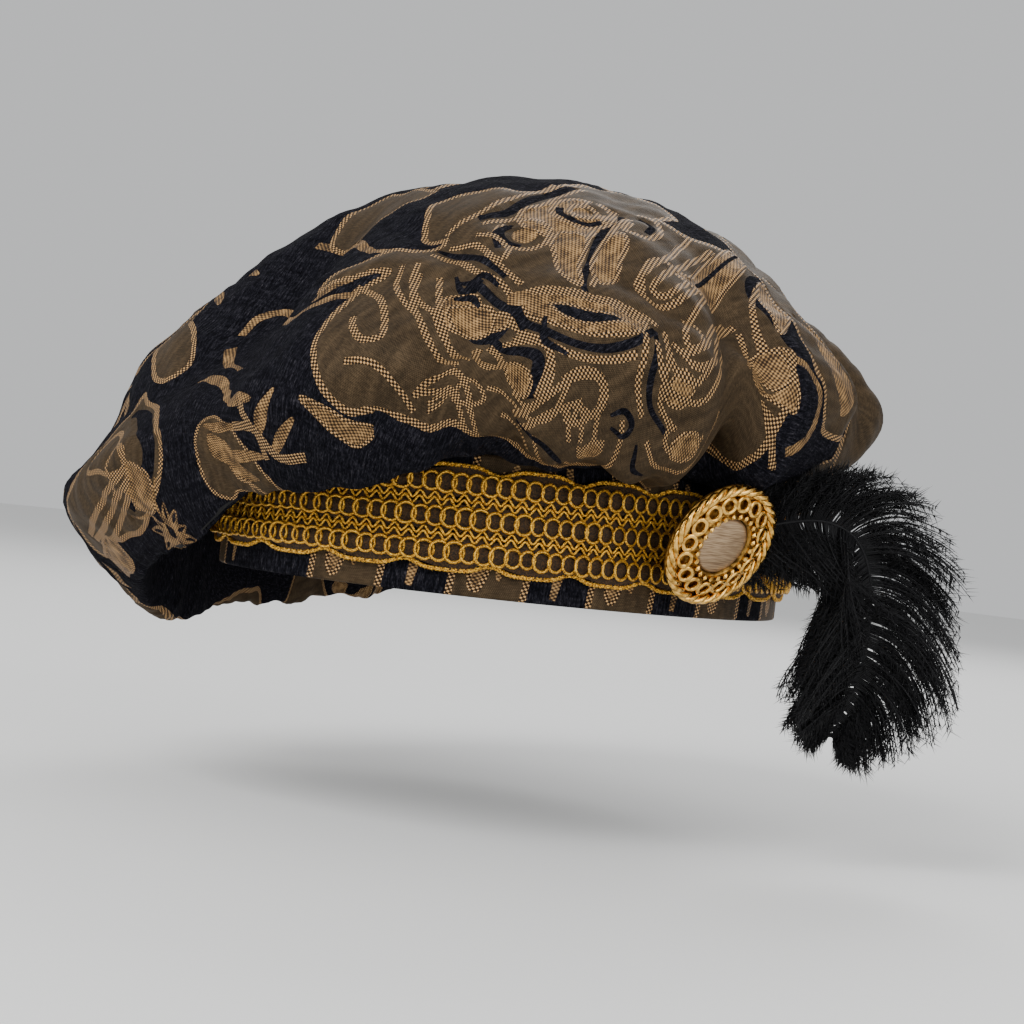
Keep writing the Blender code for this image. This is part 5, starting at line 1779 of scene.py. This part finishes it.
def button_place():
    """The button's own frame: local Z is the way that its face looks."""
    angle, tip = math.radians(BUTTON_HEADING), math.radians(BUTTON_TIP)
    outward = Vector((math.sin(angle) / HEAD_HALF_WIDTH, -math.cos(angle) / HEAD_HALF_LENGTH, 0.0)).normalized()
    normal = outward * math.cos(tip) - Vector((0, 0, 1)) * math.sin(tip)
    upward = (Vector((0, 0, 1)) - normal * normal.z).normalized()
    x, y = oval_xy(np.array([BUTTON_HEADING]), BAND_WALL)
    centre = Vector((x[0], y[0], BUTTON_HEIGHT)) + outward * BUTTON_STANDS
    return Matrix.Translation(centre) @ Matrix((upward.cross(normal), upward, normal)).transposed().to_4x4()


BUTTON = button_place()


def gilt_finish(name, dark, light, roughness):
    """Gilt metal, worn darker in patches."""
    finish = Finish(name, light, roughness, 1.0, flat=False)
    wear = finish.noise(finish.stretch(1.6, 1.6, 1.6), 1.0, 3.0)
    finish.colour(finish.ramp(wear, (0.36, dark), (0.58, light)))
    finish.bump(wear, 0.0002, 0.4)
    return finish.material


gilt = gilt_finish("polished_gilt", (0.38, 0.20, 0.04), (0.86, 0.52, 0.13), 0.20)
gilt_painted_shade = gilt_finish("gilt_recess_painted_shade", (0.09, 0.045, 0.010), (0.40, 0.22, 0.050), 0.36)
dull_gilt = gilt_finish("dull_gilt", (0.25, 0.17, 0.08), (0.42, 0.30, 0.15), 0.5)


def centre_finish():
    """Brushed brown gilt: fine streaks across the disc."""
    finish = Finish("brushed_gilt", (0.40, 0.27, 0.16), 0.46, 0.85, flat=False)
    streaks = finish.noise(finish.stretch(6.0, 6.0, 0.25), 1.0, 3.0)
    finish.colour(finish.ramp(streaks, (0.35, (0.22, 0.14, 0.08)), (0.65, (0.50, 0.36, 0.22))))
    finish.bump(streaks, 0.0001, 0.5)
    return finish.material


print("button's centre in metres:", [round(part, 4) for part in BUTTON.translation])

# %% [markdown]
# The frame's plate and the domed centre are turned shapes: a section is swung about the button's axis, as on
# a lathe. The rope rim is three strands that wind round each other.

# %% The button's plate, centre and rope rim
LATHE_COLUMNS = 96
DOME_RADIUS, DOME_EDGE, DOME_RISE = 0.0088, 0.0025, 0.0005
ROPE_STEPS, ROPE_STRANDS, ROPE_TURNS = 540, 3, 10.0
ROPE_RADIUS, ROPE_HEIGHT, STRAND_REACH, STRAND = 0.0185, 0.0017, 0.00085, 0.00088


def lathe(name, profile, material):
    """A closed turned shape from (radius, height) points that start and end on the axis."""
    profile = np.asarray(profile, float)
    columns = LATHE_COLUMNS
    angle = np.arange(columns) * math.tau / columns
    turned_rows = profile[1:-1]
    points = [(0, 0, profile[0, 1])]
    points += [(r * c, r * s, h) for r, h in turned_rows for c, s in zip(np.cos(angle), np.sin(angle))]
    points.append((0, 0, profile[-1, 1]))
    grid = 1 + np.arange(len(turned_rows) * columns).reshape(len(turned_rows), columns)
    faces = [q for a, b in zip(grid, grid[1:]) for q in np.column_stack([a, np.roll(a, -1), np.roll(b, -1), b])]
    faces += list(np.column_stack([np.zeros(columns, int), np.roll(grid[0], -1), grid[0]]))
    faces += list(np.column_stack([grid[-1], np.roll(grid[-1], -1), np.full(columns, len(points) - 1)]))
    piece = make_piece(name, np.array(points), faces, [material])
    piece.data.transform(BUTTON)
    return piece


# painted shade: the plate takes the darker gilt for the recess inside the rope rim
plate = lathe("button_plate", [
    (0, 0.0009), (0.0091, 0.0009), (0.0093, 0.0012), (0.0094, 0.0029), (0.0098, 0.0031), (0.0112, 0.0026),
    (0.0118, 0.0017), (0.0130, 0.0015), (0.0165, 0.0015), (0.0176, 0.0012), (0.0188, 0.0010),
    (0.0196, 0.0004),
    (0.0194, -0.0006), (0.0180, -0.0010), (0, -0.0010),
], gilt_painted_shade)
dome = [(DOME_RADIUS * t, DOME_EDGE + DOME_RISE * (1 - t * t)) for t in (0.25, 0.5, 0.75, 0.92)]
dome = [(0, 0.0030), *dome, (0.0090, 0.0022), (0.0090, 0.0011), (0, 0.0010)]
centre = lathe("button_dome", dome, centre_finish())
turn = np.linspace(0.0, math.tau, ROPE_STEPS, endpoint=False)
rope_lines = []
for strand in range(ROPE_STRANDS):
    phase = math.tau * strand / ROPE_STRANDS + ROPE_TURNS * turn
    reach = ROPE_RADIUS + STRAND_REACH * np.cos(phase)
    height = ROPE_HEIGHT + STRAND_REACH * np.sin(phase)
    line = np.column_stack([reach * np.cos(turn), reach * np.sin(turn), height])
    rope_lines.append([BUTTON @ Vector(point) for point in line])
strands = [np.full(ROPE_STEPS, STRAND)] * ROPE_STRANDS
rope = spin_thread("button_rope_rim", rope_lines, strands, gilt, sides=8, closed=True)
print("button's rope rim:", ROPE_STRANDS, "strands,", len(rope.data.polygons), "faces")

# %% [markdown]
# Between rim and centre stand a ring of loops, which lean out a little, and a ring of beads. They are cast
# with the frame on the real button. Here they are copies of one loop and one bead.

# %% The button's loops and beads
LOOPS, LOOP_CIRCLE, LOOP_HEIGHT, LOOP_LEAN = 16, 0.01435, 0.0026, 16.0
LOOP_RADIUS, LOOP_THREAD, LOOP_STRETCH = 0.0021, 0.00075, 1.12
BEADS, BEAD_CIRCLE, BEAD_HEIGHT, BEAD_RADIUS = 24, 0.0106, 0.0034, 0.00105


def round_the_button(count, radius, height):
    """Places in a circle on the button, and the turn of each."""
    angle = np.arange(count) * math.tau / count
    spots = [BUTTON @ Vector((radius * math.cos(a), radius * math.sin(a), height)) for a in angle]
    turned = [BUTTON.to_3x3() @ Matrix.Rotation(a, 3, "Z") for a in angle]
    return spots, turned


spots, turned = round_the_button(LOOPS, LOOP_CIRCLE, LOOP_HEIGHT)
leaning = [tuple((m @ Matrix.Rotation(math.radians(LOOP_LEAN), 3, "Y")).to_euler()) for m in turned]
loop = small_ring("one_loop", LOOP_RADIUS, LOOP_THREAD, 18, 8, LOOP_STRETCH)
loops = set_out("button_loops", loop, spots, leaning, np.ones((LOOPS, 3)), gilt)
bead_mesh = bpy.data.meshes.new("one_bead")
bead_shape = bmesh.new()
bmesh.ops.create_icosphere(bead_shape, subdivisions=1, radius=BEAD_RADIUS)
bead_shape.to_mesh(bead_mesh)
bead = bpy.data.objects.new("one_bead", bead_mesh)
bpy.context.scene.collection.objects.link(bead)
spots, turned = round_the_button(BEADS, BEAD_CIRCLE, BEAD_HEIGHT)
beads = set_out("button_beads", bead, spots, [tuple(m.to_euler()) for m in turned], np.ones((BEADS, 3)), gilt)
for piece in (plate, rope, loops, beads, centre):
    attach(piece, "root")
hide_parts("button_frame")
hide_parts("button_centre")
dress_node("button_shank", dull_gilt)
print("button:", LOOPS, "loops and", BEADS, "beads")

# %% [markdown]
# An ostrich plume has a soft quill and very long loose barbs. They hang from the quill in wisps, because
# the fine hooks along them catch each other. Each barb here is a line that leaves the quill, sweeps
# towards the tip, droops and bends to its wisp.

# %% The plume's quill and barbs
QUILL = np.array([
    (0.0930, -0.0083, 0.0245), (0.0955, 0.0040, 0.0280), (0.1030, 0.0150, 0.0325), (0.1110, 0.0250, 0.0340),
    (0.1170, 0.0340, 0.0285), (0.1195, 0.0400, 0.0130), (0.1185, 0.0410, -0.0100), (0.1120, 0.0380, -0.0330),
])
BARB_REACH = np.array([
    # share along the quill, upper and lower length
    (0.0, 0.0100, 0.0120), (0.12, 0.0160, 0.0200), (0.27, 0.0230, 0.0270), (0.41, 0.0290, 0.0310),
    (0.56, 0.0340, 0.0310), (0.70, 0.0310, 0.0280), (0.84, 0.0230, 0.0210), (0.95, 0.0130, 0.0120),
    (1.0, 0.0060, 0.0060),
])
QUILL_STEPS, QUILL_THICK, QUILL_THIN = 240, 0.0011, 0.0003
WISPS, BARBS_A_WISP, BARB_STEPS = 64, 24, 10
BARB_THICKNESS = (0.00030, 0.00026, 0.00010)
PLUME_FACE = Vector((1.0, -0.55, 0.0)).normalized()
plume_finish = Finish(
    "black_ostrich", (0.0035, 0.0035, 0.0045), 0.62, flat=False,
    Sheen_Weight=0.03, Sheen_Roughness=0.35, Specular_IOR_Level=0.22,
)
chance = np.random.default_rng(11)


def smooth_line_3d(points, steps):
    """A smooth line through points in space, stepped evenly by the straight distances between them."""
    gaps = np.concatenate([[0.0], np.cumsum(np.linalg.norm(np.diff(points, axis=0), axis=1))])
    share = np.linspace(0.0, gaps[-1], steps)
    padded = np.vstack([2 * points[0] - points[1], points, 2 * points[-1] - points[-2]])
    index = np.clip(np.searchsorted(gaps, share, side="right") - 1, 0, len(points) - 2)
    part = ((share - gaps[index]) / (gaps[index + 1] - gaps[index]))[:, None]
    a, b, c, d = (padded[index + k] for k in range(4))
    squared, cubed = 2 * a - 5 * b + 4 * c - d, 3 * b - a - 3 * c + d
    return 0.5 * (2 * b + (c - a) * part + squared * part**2 + cubed * part**3)


def barb_line(start, forward, upward, face, reach, lift, bend):
    """One barb: it spreads from the quill, sweeps to the tip, rises to the face, sags and waves a little."""
    t = np.linspace(0.0, 1.0, BARB_STEPS)
    line = []
    for step in t:
        spread = reach * (step - 0.18 * step * step)
        sweep = reach * (0.20 * step + (0.42 + bend * 0.3) * step * step)
        rise = reach * (lift * step * (1.1 - 0.75 * step))
        sag = 0.20 * reach * step**2.2
        line.append(start + upward * spread + forward * sweep + face * rise - Vector((0, 0, 1)) * sag)
    wave = 0.0009 * np.sin(t * chance.uniform(5.0, 9.0) + chance.uniform(0, 6.3)) * t
    line = [point + face * w + forward * (w * 0.6) for point, w in zip(line, wave)]
    return np.array([tuple(point) for point in line])


def plume_lines():
    """The quill's line and every barb's, with their thicknesses. Wisps take either side in turn."""
    run = smooth_line_3d(QUILL, QUILL_STEPS)
    along = np.gradient(run, axis=0)
    along /= np.linalg.norm(along, axis=1)[:, None]
    quill = run[::6]
    lines, radii = [quill], [np.interp(np.linspace(0, 1, len(quill)), [0, 1], [QUILL_THICK, QUILL_THIN])]
    thickness = np.interp(np.linspace(0.0, 1.0, BARB_STEPS), [0, 0.5, 1.0], BARB_THICKNESS)
    for wisp in range(WISPS):
        side = 1 if wisp % 2 else -1
        middle = (wisp + 0.5) / WISPS
        lean_out = chance.uniform(-0.55, 0.85)
        bend = chance.normal(0.0, 0.25)
        for barb in range(BARBS_A_WISP):
            astray = chance.normal(0.0, 0.8 / WISPS)
            place = np.clip(middle + astray + (barb / BARBS_A_WISP - 0.5) * 2.4 / WISPS, 0.01, 0.995)
            i = int(place * (QUILL_STEPS - 1))
            forward = Vector(along[i])
            upward = PLUME_FACE.cross(forward).normalized() * side
            face = (PLUME_FACE - forward * PLUME_FACE.dot(forward)).normalized()
            longest = np.interp(place, BARB_REACH[:, 0], BARB_REACH[:, 1 if side > 0 else 2])
            reach = longest * chance.uniform(0.75, 1.12)
            lift = lean_out + chance.normal(0.0, 0.12)
            lines.append(barb_line(Vector(run[i]), forward, upward, face, reach, lift, bend))
            radii.append(thickness)
    return lines, radii


plume_runs, plume_radii = plume_lines()
plume = spin_thread("plume_barbs", plume_runs, plume_radii, plume_finish.material, sides=3)
print("plume:", len(plume_runs) - 1, "barbs with", len(plume.data.polygons), "faces")

# %% [markdown]
# What makes ostrich soft to look at is the fringe on each barb: fine hooks that stand off it all round. Each
# hook here is one thin spike, copied three times on every step of a barb at a random place and turn.

# %% The plume's hooks
HOOKS_A_STEP = 3
HOOK_LENGTH, HOOK_HALF_WIDTH, HOOK_DEPTH = 0.0042, 0.00022, 0.00020


def hook_points(lines):
    """Where the short hooks stand along the barbs, and which way each points."""
    places, turns, sizes = [], [], []
    for line in lines[1:]:
        for i in range(1, len(line) - 1):
            along = Vector(line[i + 1]) - Vector(line[i])
            for _ in range(HOOKS_A_STEP):
                share = chance.uniform()
                places.append(line[i] * (1 - share) + line[i + 1] * share)
                spin = Matrix.Rotation(chance.uniform(0, math.tau), 3, along)
                lean = (along.normalized() + spin @ along.orthogonal().normalized() * 1.1).normalized()
                turns.append(tuple(lean.to_track_quat("Z", "Y").to_euler()))
                sizes.append((1.0, 1.0, chance.uniform(0.6, 1.2)))
    return places, turns, sizes


corners = [(-HOOK_HALF_WIDTH, 0, 0), (HOOK_HALF_WIDTH, 0, 0), (0, HOOK_DEPTH, 0), (0, 0, HOOK_LENGTH)]
hook = make_piece("one_hook", np.array(corners), [(0, 2, 1), (0, 1, 3), (1, 2, 3), (2, 0, 3)], [])
hooks = set_out("plume_hooks", hook, *hook_points(plume_runs), plume_finish.material)
for piece in (plume, hooks):
    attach(piece, "root")
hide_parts("plume")
print("plume's hooks:", len(hooks.data.polygons), "faces")

# %% [markdown]
# A pale floor lies under the lowest wisp, and three large soft lights stand round the hat: the key from
# the upper left of the picture, a weaker fill from the right and one behind that draws the crown's edge.

# %% Floor and lights
FLOOR_HALF, FLOOR_HEIGHT = 4.0, -0.075
LIT_HEIGHT = 0.05
floor_mesh = bpy.data.meshes.new("floor")
corners = ((-1, -1), (1, -1), (1, 1), (-1, 1))
floor_corners = [(x * FLOOR_HALF, y * FLOOR_HALF, FLOOR_HEIGHT) for x, y in corners]
floor_mesh.from_pydata(floor_corners, [], [(0, 1, 2, 3)])
floor_mesh.materials.append(Finish("pale_floor", (0.80, 0.80, 0.79), 0.8, flat=False).material)
floor = bpy.data.objects.new("floor", floor_mesh)
bpy.context.scene.collection.objects.link(floor)


def soft_light(name, place, size, power):
    """A square light that looks at the hat's middle."""
    lamp = bpy.data.lights.new(name, "AREA")
    lamp.shape, lamp.size, lamp.energy = "SQUARE", size, power
    light = bpy.data.objects.new(name, lamp)
    away = Vector(place) - Vector((0, 0, LIT_HEIGHT))
    light.matrix_world = Matrix.Translation(place) @ away.to_track_quat("Z", "Y").to_matrix().to_4x4()
    bpy.context.scene.collection.objects.link(light)
    print(name, "of", power, "W,", round(away.length, 2), "m away")


soft_light("key_light", (0.15, -1.30, 1.10), 0.9, 26.0)
soft_light("fill_light", (1.50, -0.10, 0.55), 1.2, 12.0)
soft_light("rim_light", (-0.70, 1.20, 1.20), 0.9, 14.0)
world = bpy.data.worlds.new("studio")
world.use_nodes = True
world.node_tree.nodes["Background"].inputs["Color"].default_value = (0.86, 0.87, 0.88, 1.0)
world.node_tree.nodes["Background"].inputs["Strength"].default_value = 0.75
bpy.context.scene.world = world
